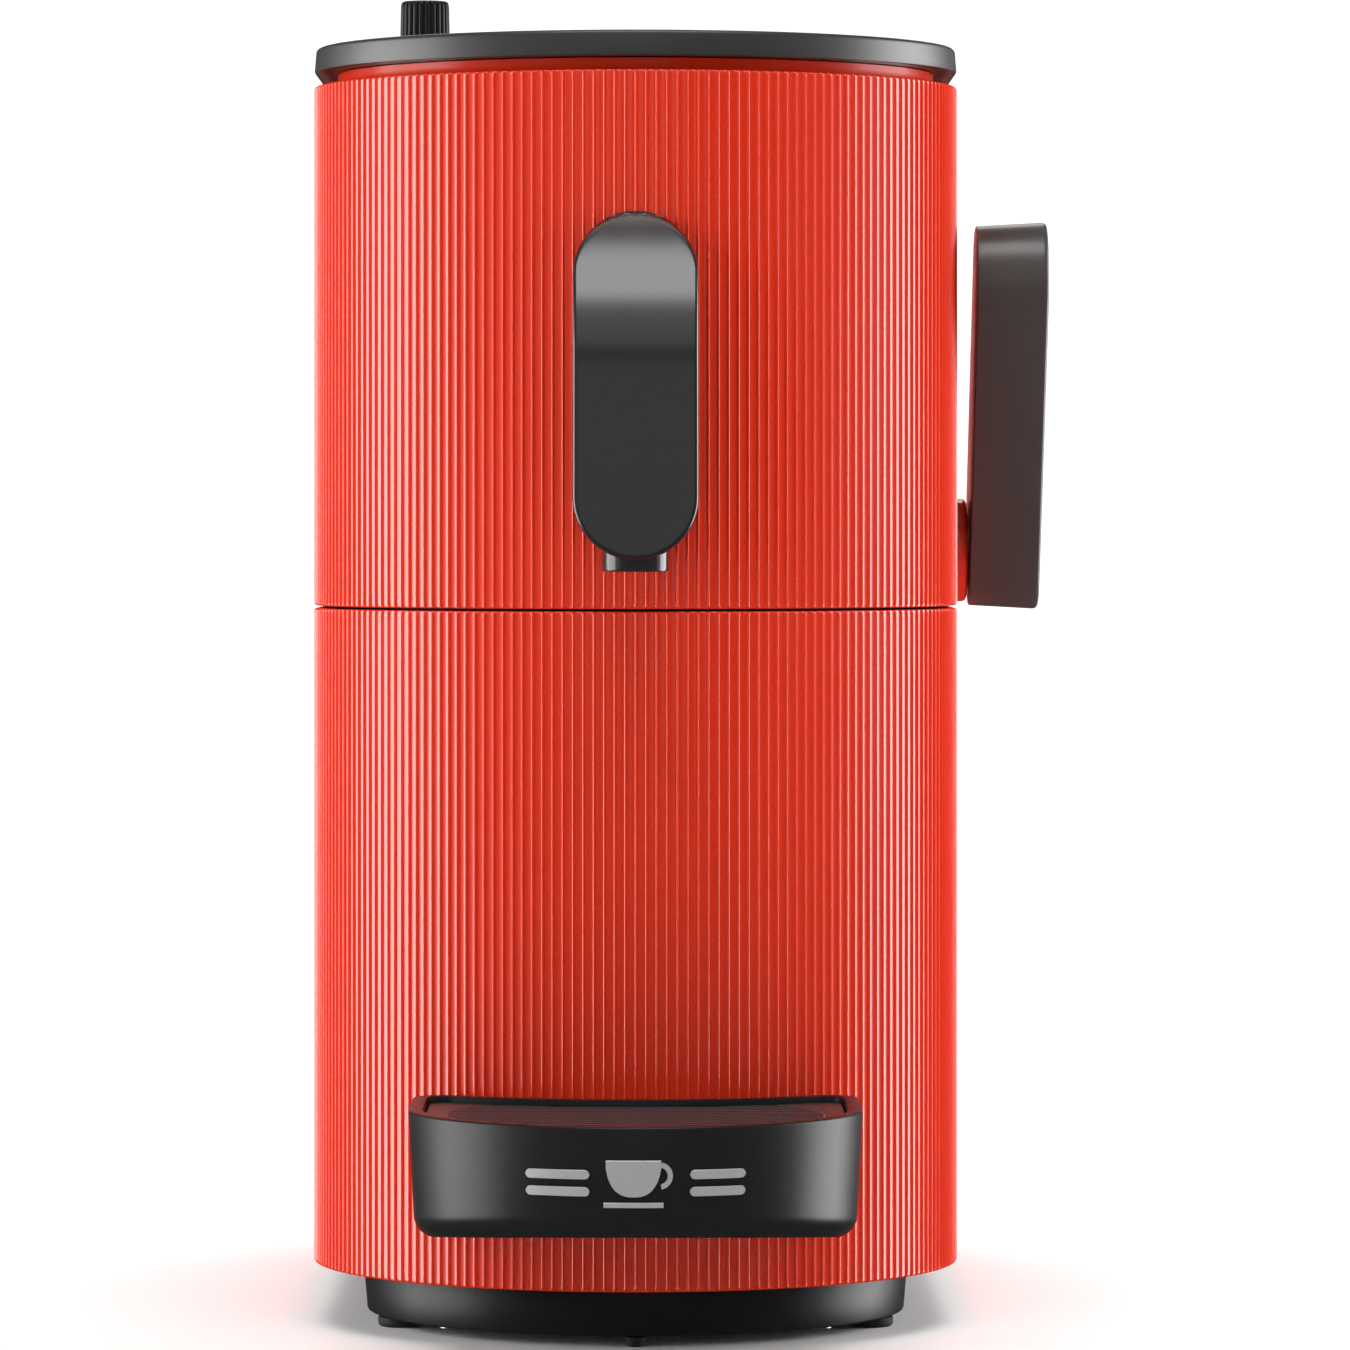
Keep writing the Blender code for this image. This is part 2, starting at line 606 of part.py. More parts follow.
def make_lever(root, lever, mats):
    axis = (0, SHAFT_Y, SHAFT_Z)
    flare = 0.9
    rings = [lever_ring(LEVER_R - LEVER_INNER_BEVEL, LEVER_X0),
             lever_ring(LEVER_R, LEVER_X0 + LEVER_INNER_BEVEL),
             lever_ring(LEVER_R + flare, LEVER_X1 - LEVER_OUTER_BEVEL),
             lever_ring(LEVER_R + flare - LEVER_OUTER_BEVEL, LEVER_X1)]
    arm = solid("lever_arm", rings, lever, mats["black_satin"])
    neck_r, socket_end, shaft_start = 9.5, 98.0, -35.0
    neck = turned("join_lever_neck", [(neck_r, BOSS_X1 + GAP), (neck_r, LEVER_X0 + 1.0)], axis, "X",
                  lever, mats["black_satin"])
    combine(arm, neck, "UNION")
    hole(arm, SHAFT_R + GAP, BOSS_X0, socket_end, axis, "X")
    turned("lever_shaft", [(SHAFT_R, shaft_start), (SHAFT_R, socket_end - GAP)], axis, "X", lever,
           mats["steel"])
    sector = prism("lever_sector_gear", sector_outline(), GEAR_X0, GEAR_X1, lever, mats["steel"],
                   along="X")
    hole(sector, SHAFT_R + GAP, GEAR_X0 - 4.0, GEAR_X1 + 4.0, axis, "X")
    bore = SHAFT_R + 0.6
    boss = [(bore, BOSS_X0), (BOSS_R, BOSS_X0), (BOSS_R, BOSS_X0 + 1.8), (BOSS_R - 2.2, BOSS_X1),
            (bore, BOSS_X1)]
    turned("lever_boss", boss, axis, "X", root, mats["red"], closed=True, segments=32)
    ring("lever_bush", SHAFT_R + 0.1, BUSH_R, 66.0, 82.3, axis, "X", root, mats["brass"])


# --- controls -----------------------------------------------------------------------------------

def make_controls(root, knob, button, mats):
    centre = (KNOB_X, KNOB_Y, 0)
    rings = []
    flute_depth, corners = 0.45, 48
    for base, z in ((KNOB_R, DECK_Z + 0.6), (KNOB_R - 0.45, KNOB_TOP - 0.7), (KNOB_R - 0.95, KNOB_TOP)):
        flutes = [(base - flute_depth * (i % 2), 2 * math.pi * i / corners) for i in range(corners)]
        rings.append([(KNOB_X + r * math.cos(t), KNOB_Y + r * math.sin(t), z) for r, t in flutes])
    cap = solid("selector_knob", rings, knob, mats["black_satin"])
    hole(cap, KNOB_SHAFT_R + GAP, 315.0, 334.0, centre, "Z")
    turned("selector_shaft", [(KNOB_SHAFT_R, 305.5), (KNOB_SHAFT_R, 333.5)], centre, "Z", knob,
           mats["steel"], segments=20)
    board_z0, board_z1 = 299.0, 300.6
    board = block("control_board", (-66.0, -12.0), (48.0, 74.0), (board_z0, board_z1), root,
                  mats["board"])
    for name, x, y, half, top in (("encoder", KNOB_X, KNOB_Y, 8.0, 317.0),
                                  ("switch", BUTTON_X, BUTTON_Y, 7.0, 310.4)):
        tool = block(f"join_board_{name}", (x - half, x + half), (y - half, y + half),
                     (board_z1 - 0.6, top), root, mats["board"])
        combine(board, tool, "UNION")
    hole(board, KNOB_SHAFT_R + 0.2, 304.0, 320.0, centre, "Z")
    flange_z = 315.4
    cap = [(BUTTON_R + 1.6, flange_z - 2.4), (BUTTON_R + 1.6, flange_z), (BUTTON_R, flange_z),
           (BUTTON_R, DECK_Z + 1.5), (BUTTON_R - 0.8, DECK_Z + 2.3)]
    turned("brew_button", cap, (BUTTON_X, BUTTON_Y, 0), "Z", button, mats["chrome"])


# --- water and electrics ------------------------------------------------------------------------

def make_inner_works(root, mats):
    block("thermoblock", (-36.0, 36.0), (98.0, 142.0), (200.0, 285.0), root, mats["aluminium"])
    spigot_r = 4.0
    pump = [(spigot_r, PUMP_Z0), (spigot_r, 44.0), (17.0, 44.0), (PUMP_R, 54.0), (PUMP_R, 128.0),
            (14.0, 140.0), (spigot_r, 140.0), (spigot_r, PUMP_Z1)]
    turned("water_pump", pump, (PUMP_X, PUMP_Y, 0), "Z", root, mats["grey_plastic"])
    bracket = block("pump_bracket", (PUMP_X - 28.0, PUMP_X + 28.0), (BULKHEAD_Y1 + GAP, 156.0),
                    (84.0, 92.0), root, mats["steel"])
    hole(bracket, PUMP_R + 0.4, 80.0, 96.0, (PUMP_X, PUMP_Y, 0), "Z")
    turned("flow_meter", [(14.0, 24.0), (14.0, 40.0)], (VALVE_X, VALVE_Y, 0), "Z", root,
           mats["grey_plastic"], segments=24)
    suction = [(VALVE_X, VALVE_Y - 14.3, SUCTION_Z), (VALVE_X, 178.0, SUCTION_Z), (34, 158.0, 28.0),
               (8, 140.0, 22.8), (-18, 131.0, 22.4), (-31, 128.2, 23.2), (-37, PUMP_Y, 28.0),
               (PUMP_X, PUMP_Y, 34.0), (PUMP_X, PUMP_Y, PUMP_Z0 - 0.5)]
    hose("suction_hose", suction, HOSE_R, root, mats["silicone"])
    pressure = [(PUMP_X, PUMP_Y, PUMP_Z1 + 0.4), (PUMP_X, PUMP_Y, 160.0), (PUMP_X, PUMP_Y, 178.0),
                (-36, 127.0, 187.0), (-26, 122.0, 190.0), (-24, 120.0, 194.0), (-24, 120.0, 199.4)]
    hose("pressure_hose", pressure, HOSE_R, root, mats["silicone"])
    hot = [(37.0, 120.0, 270.0), (42.5, 120.0, 270.0), (48.0, 108.0, 271.0), (48.0, 60.0, 272.0),
           (48.0, 0.0, 272.0), (47.0, -44.0, 262.0), (42.0, -62.0, 252.0), (37.0, -64.0, 250.0),
           (32.7, -64.0, 250.0)]
    hose("hot_water_hose", hot, HOSE_R, root, mats["silicone"])


def make_rear_base(root, rocker, mats):
    """The housing under the tank, with the mains inlet and the power switch in its back."""
    outer, inner = rear_outline(0.0), rear_outline(BODY_WALL)
    rings = [at_height(inner, BASE_Z1 - BODY_WALL), at_height(inner, BODY_Z0),
             at_height(outer, BODY_Z0), at_height(outer, BASE_Z1)]
    base = solid("tank_base", rings, root, mats["red"])
    window(base, (-31.0, 31.0), (225.0, 250.0), (26.0, 54.0))
    hole(base, 13.3, 60.0, 75.0, (VALVE_X, VALVE_Y, 0), "Z")
    hole(base, HOSE_HOLE_R, 180.0, 195.0, (VALVE_X, 0, SUCTION_Z), "Y")
    socket = [(13.0, 50.0), (13.0, 67.6), (9.5, 67.6), (9.5, 53.0)]
    turned("tank_socket", socket, (VALVE_X, VALVE_Y, 0), "Z", root, mats["rubber"], segments=24)
    panel = block("rear_panel", (-30.5, 30.5), (231.5, 234.0), (26.5, 53.5), root,
                  mats["black_satin"])
    window(panel, (-26.4, 2.4), (220.0, 245.0), (29.6, 50.4))
    window(panel, (9.2, 22.8), (220.0, 245.0), (29.0, 51.0))
    inlet = block("power_inlet", (-26.0, 2.0), (214.0, 237.6), (30.0, 50.0), root,
                  mats["gloss_black"])
    window(inlet, (-23.0, -1.0), (222.0, 245.0), (33.0, 47.0))
    for x, z in ((-19.0, 38.5), (-12.0, 42.0), (-5.0, 38.5)):
        pin = block(f"join_inlet_pin_{x:.0f}", (x - 1, x + 1), (218.0, 233.0), (z - 2, z + 2), root,
                    mats["steel"])
        combine(inlet, pin, "UNION")
    backs = {"switch": ((9.5, 22.5), (212.0, 226.0)), "plate": ((-20.0, 15.0), (210.0, 216.0))}
    for name, (x, y) in backs.items():
        tool = block(f"join_inlet_{name}", x, y, (32.0, 48.0), root, mats["gloss_black"])
        combine(inlet, tool, "UNION")
    tilt = math.radians(ROCKER_TILT)
    profile = [(4.5, -9.2), (3.0, 0.0), (4.5, 9.2), (-3.0, 8.0), (-5.0, 0.0), (-3.0, -8.0)]
    outline = [(SWITCH_Y + y * math.cos(tilt) - z * math.sin(tilt),
                PANEL_Z + y * math.sin(tilt) + z * math.cos(tilt)) for y, z in profile]
    prism("power_rocker", outline, SWITCH_X - 6.4, SWITCH_X + 6.4, rocker, mats["gloss_black"],
          along="X")


def make_tank(tank, lid, mats):
    outer, inner = rear_outline(0.0), rear_outline(TANK_WALL)
    rings = [at_height(outer, TANK_Z0), at_height(outer, BODY_Z1),
             at_height(inner, BODY_Z1), at_height(inner, TANK_Z0 + TANK_WALL)]
    body = solid("water_tank", rings, tank, mats["smoked"])
    hole(body, 8.4, 60.0, 80.0, (VALVE_X, VALVE_Y, 0), "Z")
    valve = [(5.0, 57.0), (8.0, 60.0), (8.0, 76.0), (5.0, 80.0)]
    turned("tank_valve", valve, (VALVE_X, VALVE_Y, 0), "Z", tank, mats["black_satin"], segments=24)
    neck = rear_outline(COLLAR_INSET)
    rim, well = rear_outline(RIM_INSET, LID_FRONT), rear_outline(RIM_WIDTH + RIM_INSET, LID_FRONT)
    rings = [at_height(neck, BODY_Z1 + GAP), at_height(neck, RIM_Z0), at_height(rim, RIM_Z0),
             at_height(rim, RIM_Z1), at_height(well, RIM_Z1), at_height(well, DECK_Z)]
    cover = solid("tank_lid", rings, lid, mats["black_satin"])
    for side, sign in (("left", -1), ("right", 1)):
        ear_x = sorted((sign * EAR_X0, sign * EAR_X1))
        ear = block(f"join_tank_ear_{side}", ear_x, (TANK_FRONT, 188.6), (312.0, 325.0), tank,
                    mats["smoked"])
        combine(body, ear, "UNION")
        notch_x = (ear_x[0] - 0.5, ear_x[1] + 0.5)
        window(cover, notch_x, (180.0, 190.2), (310.0, 330.0))
    for part in (body, cover):
        hole(part, 1.5, -PIN_HALF - GAP, PIN_HALF + GAP, (0, HINGE_Y, HINGE_Z), "X")
    turned("lid_hinge_pin", [(1.2, -PIN_HALF), (1.2, PIN_HALF)], (0, HINGE_Y, HINGE_Z), "X", tank,
           mats["steel"], segments=16)


# --- drawer and drip tray -----------------------------------------------------------------------

def make_drawer(root, drawer, waste, mats):
    outer = arc(0, 0, BODY_R, 180, 360, 28)
    inner = arc(0, 0, BODY_R - BODY_WALL, 360, 180, 28)
    reach = BODY_R - BODY_WALL
    outline = [(-BODY_R, SIDE_SEAM_Y), *outer, (BODY_R, SIDE_SEAM_Y), (reach, SIDE_SEAM_Y), *inner,
               (-reach, SIDE_SEAM_Y)]
    front = prism("drawer_front", outline, BODY_Z0, SEAM_Z - SEAM_HALF, drawer, mats["red"])
    wide, narrow, step = 81.0, 68.0, -34.0
    turn = math.degrees(math.asin(step / wide))
    outline = [*arc(0, 0, wide, 180 - turn, 360 + turn, 24), (narrow, step), (narrow, DRAWER_BACK),
               (-narrow, DRAWER_BACK), (-narrow, step)]
    floor = prism("join_drawer_floor", outline, FLOOR_Z1 + 0.6, BIN_Z0 - GAP, drawer, mats["red"])
    combine(front, floor, "UNION")
    rings = [at_height(bin_outline(1.5), BIN_Z0), at_height(bin_outline(0.0), BIN_Z1),
             at_height(bin_outline(2.0), BIN_Z1), at_height(bin_outline(3.5), BIN_Z0 + 2.2)]
    solid("used_ball_bin", rings, waste, mats["grey_plastic"])
    keeper = [*arc(0, 0, 79.8, 250, 290, 10), *arc(0, 0, 78.2, 290, 250, 10)]
    prism("tray_keeper_strip", keeper, 30.0, 135.0, drawer, mats["steel"])


def make_tray(hanger, tray, grid, mats):
    low, high = BODY_R + GAP, TRAY_BACK_R - GAP
    outline = [*arc(0, 0, low, 242, 298, 16), *arc(0, 0, high, 298, 242, 16)]
    prism("tray_magnet_plate", outline, 38.0, 60.0, hanger, mats["black_satin"])
    rings = []
    for turn in map(math.radians, (12, 35, 62, 90)):
        inset = TRAY_DRAW + TRAY_FILLET * (1 - math.sin(turn))
        rise = TRAY_FILLET * (1 - math.cos(turn))
        rings.append([(x, y, TRAY_Z0 + rise - TRAY_FALL * (y - TRAY_Y + TRAY_R))
                      for x, y in tray_outline(inset)])
    levels = [(0.0, TRAY_Z1), (TRAY_RIM, TRAY_Z1), (TRAY_RIM, TRAY_LEDGE_Z), (6.0, TRAY_LEDGE_Z),
              (7.5, TRAY_BASIN_Z)]
    rings += [at_height(tray_outline(i), z) for i, z in levels]
    solid("drip_tray", rings, tray, mats["black_satin"])
    rings = []
    for z in (BADGE_Z0, BADGE_Z1):
        face = TRAY_R - (TRAY_Z1 - z) * TRAY_DRAFT + 0.15
        start, end = 270 - BADGE_HALF_ANGLE, 270 + BADGE_HALF_ANGLE
        outline = arc(0, TRAY_Y, face, start, end, 12) + arc(0, TRAY_Y, face + 0.35, end, start, 12)
        rings.append(at_height(outline, z))
    solid("tray_badge", rings, tray, mats["chrome"])
    plate = prism("tray_grid", tray_outline(TRAY_RIM + 0.5), GRID_Z0, GRID_Z1, grid,
                  mats["gloss_black"])
    for number in range(-SLOTS_EACH_WAY, SLOTS_EACH_WAY + 1):
        y = SLOT_AREA_Y + number * SLOT_PITCH
        half = math.sqrt(SLOT_AREA_R ** 2 - (number * SLOT_PITCH) ** 2)
        window(plate, (-half, half), (y - SLOT_WIDTH / 2, y + SLOT_WIDTH / 2), (55.0, 65.0))


# --- assembly -----------------------------------------------------------------------------------

def make_materials():
    looks = {
        "red": ((0.80, 0.055, 0.022), 0.42, 0.0),
        "black_satin": ((0.022, 0.022, 0.023), 0.42, 0.0),
        "gloss_black": ((0.018, 0.018, 0.019), 0.18, 0.0),
        "grey_plastic": ((0.16, 0.16, 0.17), 0.5, 0.0),
        "rubber": ((0.02, 0.02, 0.02), 0.8, 0.0),
        "silicone": ((0.62, 0.62, 0.58), 0.45, 0.0),
        "smoked": ((0.06, 0.065, 0.07), 0.12, 0.0),
        "steel": ((0.56, 0.56, 0.57), 0.32, 1.0),
        "chrome": ((0.75, 0.75, 0.76), 0.2, 1.0),
        "aluminium": ((0.68, 0.69, 0.70), 0.35, 1.0),
        "brass": ((0.78, 0.57, 0.22), 0.3, 1.0),
        "board": ((0.02, 0.16, 0.06), 0.5, 0.0),
        "lens": ((0.85, 0.87, 0.85), 0.25, 0.0),
    }
    return {name: material(name, *look) for name, look in looks.items()}


def main():
    clear_scene()
    mats = make_materials()
    badge_face = TRAY_R - (TRAY_Z1 - BADGE_Z1) * TRAY_DRAFT + 0.5
    front = TRAY_Y - badge_face
    back = BODY_LENGTH + BODY_R
    root = empty("machine", (0, 0, 0))
    root.location = (-(LEVER_X1 - BODY_R) / 2 * MM, -(front + back) / 2 * MM, 0.0)
    lever = empty("lever_pivot", (BODY_R, SHAFT_Y, SHAFT_Z), root)
    carriage = empty("carriage_slide", (0, BLOCK_Y0, BREW_Z), root)
    knob = empty("selector_pivot", (KNOB_X, KNOB_Y, DECK_Z), root)
    button = empty("button_slide", (BUTTON_X, BUTTON_Y, DECK_Z), root)
    rocker = empty("rocker_pivot", (SWITCH_X, SWITCH_Y, PANEL_Z), root)
    tank = empty("tank_lift", (VALVE_X, VALVE_Y, TANK_Z0), root)
    lid = empty("lid_pivot", (0, HINGE_Y, HINGE_Z), tank)
    drawer = empty("drawer_slide", (0, SIDE_SEAM_Y, BODY_Z0), root)
    waste = empty("bin_lift", (0, 0, BIN_Z0), drawer)
    hanger = empty("tray_height_slide", (0, -BODY_R, TRAY_Z0), drawer)
    tray = empty("tray_pull_slide", (0, -TRAY_BACK_R, TRAY_Z0), hanger)
    grid = empty("grid_lift", (0, TRAY_Y, GRID_Z0), tray)

    make_plinth(root, mats)
    make_feet(root, mats)
    make_inner_plates(root, mats)
    make_lower_rear_shell(root, mats)
    make_upper_shell(root, mats)
    make_top(root, mats)
    make_spout(root, mats)
    make_brew_head(root, mats)
    make_group_frame(root, mats)
    make_carriage(carriage, mats)
    make_lever(root, lever, mats)
    make_controls(root, knob, button, mats)
    make_inner_works(root, mats)
    make_rear_base(root, rocker, mats)
    make_tank(tank, lid, mats)
    make_drawer(root, drawer, waste, mats)
    make_tray(hanger, tray, grid, mats)


main()
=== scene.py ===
import math

import bmesh
import bpy
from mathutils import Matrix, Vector


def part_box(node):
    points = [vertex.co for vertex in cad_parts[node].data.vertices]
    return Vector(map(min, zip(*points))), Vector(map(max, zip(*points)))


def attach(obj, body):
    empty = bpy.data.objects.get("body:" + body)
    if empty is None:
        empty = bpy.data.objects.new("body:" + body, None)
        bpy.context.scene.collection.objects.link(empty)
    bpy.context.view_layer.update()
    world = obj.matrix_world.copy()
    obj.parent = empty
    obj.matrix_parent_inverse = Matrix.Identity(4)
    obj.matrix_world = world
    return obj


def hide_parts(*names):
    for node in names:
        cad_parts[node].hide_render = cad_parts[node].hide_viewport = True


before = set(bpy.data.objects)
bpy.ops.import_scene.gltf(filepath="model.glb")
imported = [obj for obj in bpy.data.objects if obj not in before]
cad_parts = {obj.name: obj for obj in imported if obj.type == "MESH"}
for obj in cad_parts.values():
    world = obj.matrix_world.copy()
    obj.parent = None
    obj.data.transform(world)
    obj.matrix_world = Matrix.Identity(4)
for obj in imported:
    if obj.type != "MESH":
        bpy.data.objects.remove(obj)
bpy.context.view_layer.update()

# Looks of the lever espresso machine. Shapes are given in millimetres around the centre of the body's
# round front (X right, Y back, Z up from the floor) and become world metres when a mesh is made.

MM = 0.001

# Sizes that the frame's own nodes share.
BODY_R = 82.5
BODY_LENGTH = 160.7
QUARTER = BODY_R * math.pi / 2
BODY_BACK = 184.6
TANK_FRONT = 185.2
LID_FRONT = 186.0
WALL = 2.4
RIM_INSET = 0.2
DECK_Z = 321.9
BALL_Y = -34.0
BALL_HOLE_R = 24.0
KNOB_X, KNOB_Y, KNOB_HOLE_R = -55.8, 60.0, 4.5
BUTTON_X, BUTTON_Y, BUTTON_HOLE_R = -26.0, 60.0, 8.4
LENS_X, LENS_Y, LENS_HOLE_R = -5.0, 60.0, 3.3
SPOUT_HALF = 15.5
NOZZLE_Y, NOZZLE_HOLE_R = -98.0, 8.5
SHAFT_Y, SHAFT_Z, SHAFT_HOLE_R = 40.0, 196.7, 10.3
LEVER_LEAN = 31.4               # degrees that its top leans forwards
LEVER_LENGTH = 80.7             # between the centres of its round ends
VALVE_X, VALVE_Y, VALVE_HOLE_R = 42.0, 204.0, 8.4
SOCKET_HOLE_R = 13.3
HOSE_X, HOSE_Z, HOSE_HOLE_R = 42.0, 32.0, 4.5
HINGE_Y, HINGE_Z, HINGE_HOLE_R = 187.0, 323.4, 1.5
TRAY_R, TRAY_Y, TRAY_BACK_R = 54.8, -113.4, 85.0
TRAY_CORNER = 8.0
TRAY_FOOT_Z = 36.9              # at the front; the underside falls towards the back
TRAY_FALL = 0.095               # per mm back from the front
TRAY_DRAW = 1.3                 # how far the sides draw in by the foot
BIN_R, BIN_Y, BIN_BACK, BIN_CORNER = 62.0, -14.0, 59.0, 6.0

# Ribs of the body: a narrow round ridge every 1.8 degrees, with a wider, nearly flat land between.
RIB_PITCH = BODY_R * math.radians(1.8)
RIB_DEPTH = 0.65
RIB_PROFILE = (
    (-0.5, -0.08), (-0.3, 0.0), (-0.21, 0.06), (-0.14, 0.38), (-0.07, 0.84), (0.0, 1.0),
    (0.07, 0.84), (0.14, 0.38), (0.21, 0.06), (0.3, 0.0),
)
LAND_EDGE, RIDGE_EDGE = 0.45, 0.95      # how round they are at the top and bottom of a wall
PAST_ENDS = 9.0                         # a distance from an end at which nothing rounds off

shell_low, shell_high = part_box("upper_shell")
plinth_low, plinth_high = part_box("base_plinth")
CENTRE = Vector(((plinth_low.x + plinth_high.x) / 2, shell_low.y + BODY_R * MM, 0.0))


def level(node, end):
    """The height in millimetres of a node's bottom (0) or top (1)."""
    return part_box(node)[end].z / MM


# --- materials ----------------------------------------------------------------------------------

def look(name, colour, roughness, metallic=0.0, grain=0.4, relief=0.02, mottle=0.06, stretch=(1, 1, 1),
         **sockets):
    """A surface with fine moulded or brushed grain, faint mottling and uneven gloss. Grain is the
    size of its grains in millimetres and relief their height."""
    mat = bpy.data.materials.new(name)
    mat.use_nodes = True
    nodes, links = mat.node_tree.nodes, mat.node_tree.links
    shader = nodes["Principled BSDF"]
    shader.inputs["Metallic"].default_value = metallic
    for socket, value in sockets.items():
        shader.inputs[socket.replace("_", " ")].default_value = value

    place = nodes.new("ShaderNodeTexCoord")
    mapping = nodes.new("ShaderNodeMapping")
    mapping.inputs["Scale"].default_value = stretch
    links.new(place.outputs["Object"], mapping.inputs["Vector"])

    fine = nodes.new("ShaderNodeTexNoise")
    fine.inputs["Scale"].default_value = 1 / (grain * MM)
    fine.inputs["Detail"].default_value = 2.0
    links.new(mapping.outputs["Vector"], fine.inputs["Vector"])
    bump = nodes.new("ShaderNodeBump")
    bump.inputs["Strength"].default_value = 1.0
    bump.inputs["Distance"].default_value = relief * MM
    links.new(fine.outputs["Fac"], bump.inputs["Height"])
    links.new(bump.outputs["Normal"], shader.inputs["Normal"])

    broad = nodes.new("ShaderNodeTexNoise")
    broad.inputs["Scale"].default_value = 45.0
    broad.inputs["Detail"].default_value = 3.0
    links.new(place.outputs["Object"], broad.inputs["Vector"])
    gloss = nodes.new("ShaderNodeMapRange")
    gloss.inputs["To Min"].default_value = roughness * 0.9
    gloss.inputs["To Max"].default_value = min(1.0, roughness * 1.1)
    links.new(broad.outputs["Fac"], gloss.inputs["Value"])
    links.new(gloss.outputs["Result"], shader.inputs["Roughness"])

    tint = nodes.new("ShaderNodeMix")
    tint.data_type = "RGBA"
    tint.inputs["A"].default_value = (*[c * (1 - mottle) for c in colour], 1.0)
    tint.inputs["B"].default_value = (*[min(1.0, c * (1 + mottle)) for c in colour], 1.0)
    links.new(fine.outputs["Fac"], tint.inputs["Factor"])
    links.new(tint.outputs["Result"], shader.inputs["Base Color"])
    mat.diffuse_color = (*colour, 1.0)
    return mat


LOOKS = {
    "red_body": look("red_body", (0.76, 0.033, 0.0065), 0.17, grain=0.3, relief=0.001, mottle=0.05,
                     Specular_IOR_Level=0.75),
    "black_satin": look("black_satin", (0.012, 0.012, 0.0125), 0.34, grain=0.35, relief=0.035,
                        mottle=0.25, Specular_IOR_Level=0.21),
    "dark_grey": look("dark_grey", (0.036, 0.035, 0.035), 0.36, grain=0.35, relief=0.03, mottle=0.2),
    "lever_grey": look("lever_grey", (0.058, 0.056, 0.054), 0.29, grain=0.35, relief=0.03, mottle=0.2),
    "nozzle_black": look("nozzle_black", (0.02, 0.02, 0.02), 0.14, grain=0.5, relief=0.004, mottle=0.15),
    "black_gloss": look("black_gloss", (0.016, 0.016, 0.0165), 0.22, grain=0.5, relief=0.01,
                        mottle=0.15, Specular_IOR_Level=0.72),
    "inner_plastic": look("inner_plastic", (0.10, 0.10, 0.105), 0.5, grain=0.6, relief=0.03),
    "rubber": look("rubber", (0.016, 0.016, 0.016), 0.75, grain=0.5, relief=0.04, mottle=0.15),
    "silicone": look("silicone", (0.60, 0.60, 0.56), 0.42, relief=0.01, Alpha=0.85),
    "smoked_clear": look("smoked_clear", (0.035, 0.037, 0.04), 0.09, grain=1.5, relief=0.004,
                         Alpha=0.5, Coat_Weight=0.5, Coat_Roughness=0.05),
    "steel": look("steel", (0.56, 0.56, 0.57), 0.32, 1.0, grain=0.25, relief=0.008,
                  stretch=(1, 0.05, 1)),
    "bright_metal": look("bright_metal", (0.76, 0.76, 0.77), 0.24, 1.0, grain=0.3, relief=0.004,
                         stretch=(0.06, 1, 1)),
    "silver_print": look("silver_print", (0.60, 0.60, 0.61), 0.32, 0.5, grain=0.25, relief=0.012),
    "aluminium": look("aluminium", (0.66, 0.67, 0.68), 0.42, 1.0, grain=1.2, relief=0.03),
    "brass": look("brass", (0.78, 0.55, 0.20), 0.3, 1.0, grain=0.4, relief=0.008),
    "board": look("board", (0.02, 0.15, 0.055), 0.45, grain=1.4, relief=0.03, mottle=0.3),
    "lens": look("lens", (0.85, 0.87, 0.85), 0.2, grain=0.8, relief=0.002, Alpha=0.9),
}


# --- outlines in plan ---------------------------------------------------------------------------

def arc(cx, cy, radius, start, end, steps):
    """Points on a circle from start to end in degrees, both ends included."""
    turn = [math.radians(start + (end - start) * i / steps) for i in range(steps + 1)]
    return [(cx + radius * math.cos(t), cy + radius * math.sin(t)) for t in turn]


def body_plan(inset):
    """The body's smooth outline, pulled in by inset and cut off flat at the back."""
    radius = BODY_R - inset
    tilt = math.degrees(math.asin((BODY_BACK - inset - BODY_LENGTH) / radius))
    return (arc(0, 0, radius, 180, 360, 120) + arc(0, BODY_LENGTH, radius, 0, tilt, 12)
            + arc(0, BODY_LENGTH, radius, 180 - tilt, 180, 12))


def rear_plan(inset, front=TANK_FRONT):
    """The outline behind the water tank's front face, pulled in by inset."""
    radius = BODY_R - inset
    tilt = math.degrees(math.asin((front + inset - BODY_LENGTH) / radius))
    return arc(0, BODY_LENGTH, radius, tilt, 180 - tilt, 96)


def stadium_plan(radius):
    """The plinth's outline: the body's, round at both ends, at a radius of its own."""
    return arc(0, 0, radius, 180, 360, 96) + arc(0, BODY_LENGTH, radius, 0, 180, 96)


def tray_plan(inset):
    """The drip tray in plan: round front, rounded rear corners and a back that follows the body."""
    corner_x = TRAY_R - TRAY_CORNER
    corner = max(TRAY_CORNER - inset, 1.0)
    back_r = TRAY_BACK_R + inset
    corner_y = -math.sqrt(back_r ** 2 - corner_x ** 2) - corner
    back_turn = math.degrees(math.atan2(corner_y + corner, corner_x))
    right = arc(corner_x, corner_y, corner, 0, 80, 12)
    left = [(-x, y) for x, y in reversed(right)]
    return (arc(0, TRAY_Y, TRAY_R - inset, 180, 360, 96) + right
            + arc(0, 0, back_r, back_turn, -180 - back_turn, 36) + left)


def bin_plan(inset):
    """The bin in plan: a half round at the front and a flat back with rounded corners."""
    radius, back = BIN_R - inset, BIN_BACK - inset
    corner_x, corner_y = radius - BIN_CORNER, back - BIN_CORNER
    return (arc(0, BIN_Y, radius, 180, 360, 72) + arc(corner_x, corner_y, BIN_CORNER, 0, 90, 8)
            + arc(-corner_x, corner_y, BIN_CORNER, 90, 180, 8))


def at(z, plan):
    """An outline in plan, put at a height."""
    return [(x, y, z) for x, y in plan]


